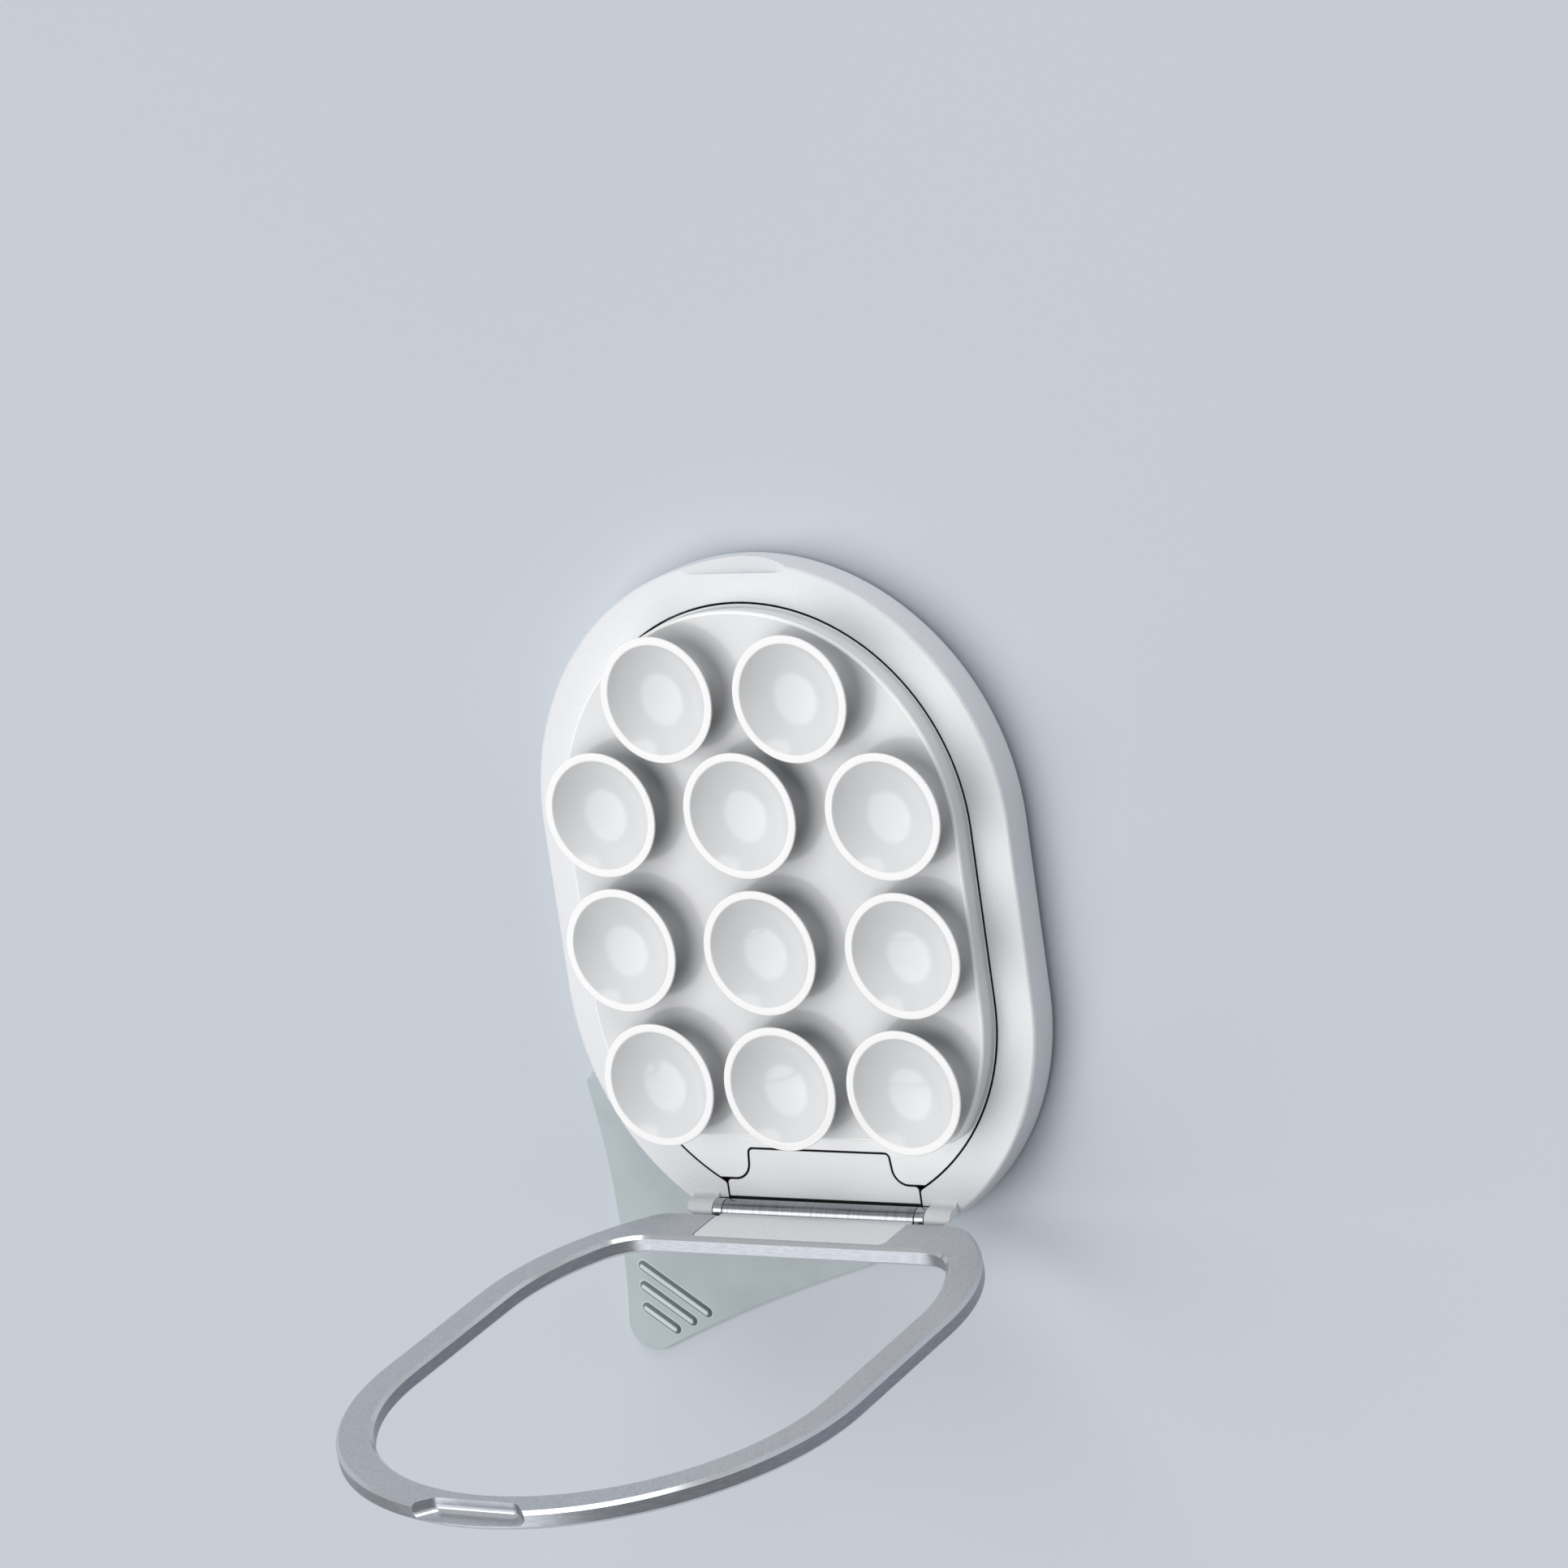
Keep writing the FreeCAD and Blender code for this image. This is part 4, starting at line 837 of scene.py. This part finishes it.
# The seam masks below put painted shade on seam walls and edges.
dress("frame", sprayed("shell_satin", srgb(222, 224, 228), srgb(232, 233, 236), frame_seam_shade))
dress(
    "pad_carrier",
    sprayed("carrier_satin", srgb(236, 238, 240), srgb(243, 244, 245), upright, seam_shade_edges=True),
)
dress(
    "hinge_cover",
    sprayed("cover_satin", srgb(229, 231, 233), srgb(237, 238, 240), upright, seam_shade_edges=True),
)
dress("hinge_leaf", leaf_metal())
hinge_steel = brushed(
    "hinge_steel",
    srgb(176, 178, 182),
    srgb(204, 206, 209),
    smoothest=0.14,
    roughest=0.24,
    stretch=(1.0, 0.25, 0.25),
)
for node in ("friction_clip_left", "friction_clip_right", "hinge_pin"):
    dress(node, hinge_steel)
screw_steel = brushed(
    "screw_steel",
    srgb(120, 121, 124),
    srgb(150, 151, 154),
    smoothest=0.25,
    roughest=0.4,
    stretch=(1.0, 1.0, 1.0),
)
dress("case_screws", screw_steel)
dress("kickstand_ring", ring_metal())

pad = silicone_pad()
pad.data.materials.append(silicone())
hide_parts("suction_pad")
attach(pad, "mount")

sticky = gel_pad()
# The sheet: its rounded edges lighter as a painted highlight.
sticky.data.materials.append(
    gel("gel_frosted", srgb(160, 171, 176), srgb(173, 183, 187), rim_painted_light=srgb(206, 214, 217))
)
# The ridges: tops lighter as a painted highlight, flanks darker as painted shade.
sticky.data.materials.append(
    gel("gel_ridges", srgb(196, 205, 208), srgb(204, 212, 214), rim_painted_light=srgb(104, 118, 125))
)
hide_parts("adhesive_pad")
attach(sticky, "mount")


# Studio: pale floor, a broad key light from above on the left, two low fills, even sky.

FLOOR_HALF_M = 4.0
FLOOR_DROP = 0.2
SKY_COLOUR = (0.97, 0.985, 1.0, 1.0)
SKY_LIGHT = 0.16
SKY_SEEN = 0.5
# Each lamp's name, the direction it shines from, its spread in degrees, strength and colour.
LAMPS = (
    ("key", (-0.42, -0.12, 0.90), 65.5, 2.3, (1.0, 0.995, 0.985)),
    ("top", (0.0, 0.93, 0.36), 42.5, 1.02, (1.0, 0.998, 0.99)),
    ("right", (0.78, 0.58, 0.23), 31.0, 0.44, (0.985, 0.99, 1.0)),
)


def make_floor():
    bm = bmesh.new()
    bmesh.ops.create_grid(bm, x_segments=8, y_segments=8, size=FLOOR_HALF_M)
    mesh = bpy.data.meshes.new("floor")
    bm.to_mesh(mesh)
    bm.free()
    floor = bpy.data.objects.new("floor", mesh)
    floor.location = (0, 0, -FLOOR_DROP * MM)
    bpy.context.scene.collection.objects.link(floor)
    mesh.materials.append(floor_paint())


def make_world():
    """An even sky, with its own strength where the camera or a reflection sees it."""
    world = bpy.data.worlds.new("studio")
    world.use_nodes = True
    bpy.context.scene.world = world
    tree = world.node_tree
    tree.nodes.clear()
    skies = []
    for strength in (SKY_LIGHT, SKY_SEEN):
        sky = tree.nodes.new("ShaderNodeBackground")
        sky.inputs["Color"].default_value = SKY_COLOUR
        sky.inputs["Strength"].default_value = strength
        skies.append(sky)
    path = tree.nodes.new("ShaderNodeLightPath")
    seen = tree.nodes.new("ShaderNodeMath")
    seen.operation = "MAXIMUM"
    tree.links.new(path.outputs["Is Camera Ray"], seen.inputs[0])
    tree.links.new(path.outputs["Is Glossy Ray"], seen.inputs[1])
    mix = tree.nodes.new("ShaderNodeMixShader")
    for socket, source in zip(mix.inputs, (seen, *skies)):
        tree.links.new(source.outputs[0], socket)
    out = tree.nodes.new("ShaderNodeOutputWorld")
    tree.links.new(mix.outputs[0], out.inputs["Surface"])


def soft_light(name, direction, spread, strength, colour):
    """A broad distant light that falls evenly on the whole floor."""
    data = bpy.data.lights.new(name, "SUN")
    data.angle = math.radians(spread)
    data.energy = strength
    data.color = colour
    lamp = bpy.data.objects.new(name, data)
    way = Vector(direction).normalized()
    lamp.location = way
    lamp.rotation_euler = way.to_track_quat("Z", "Y").to_euler()
    bpy.context.scene.collection.objects.link(lamp)


make_floor()
make_world()
for lamp in LAMPS:
    soft_light(*lamp)


# Camera, from the fit to the photo: its place in metres and the directions of its view.

CAMERA_AT = (0.316923, 0.151094, 0.492793)
VIEW_RIGHT = (0.8499378110307757, -0.14062113107108354, -0.507771026030929)
VIEW_DOWN = (0.002147521834863539, -0.9627937135668317, 0.27022889050980137)
VIEW_AHEAD = (-0.5268786440255308, -0.23076820104268825, -0.8180127944337664)
SENSOR_WIDTH = 36.0
FOCAL_LENGTH = 137.92
NEAREST_M = 0.01
FARTHEST_M = 20.0


def make_camera():
    data = bpy.data.cameras.new("camera")
    data.sensor_width = SENSOR_WIDTH
    data.lens = FOCAL_LENGTH
    data.clip_start = NEAREST_M
    data.clip_end = FARTHEST_M
    camera = bpy.data.objects.new("camera", data)
    # The columns of a camera's turn are right, up and backward.
    columns = Matrix((VIEW_RIGHT, [-v for v in VIEW_DOWN], [-v for v in VIEW_AHEAD])).transposed()
    camera.matrix_world = Matrix.Translation(CAMERA_AT) @ columns.to_4x4()
    bpy.context.scene.collection.objects.link(camera)
    bpy.context.scene.camera = camera


make_camera()
bpy.context.scene.view_settings.view_transform = "Standard"
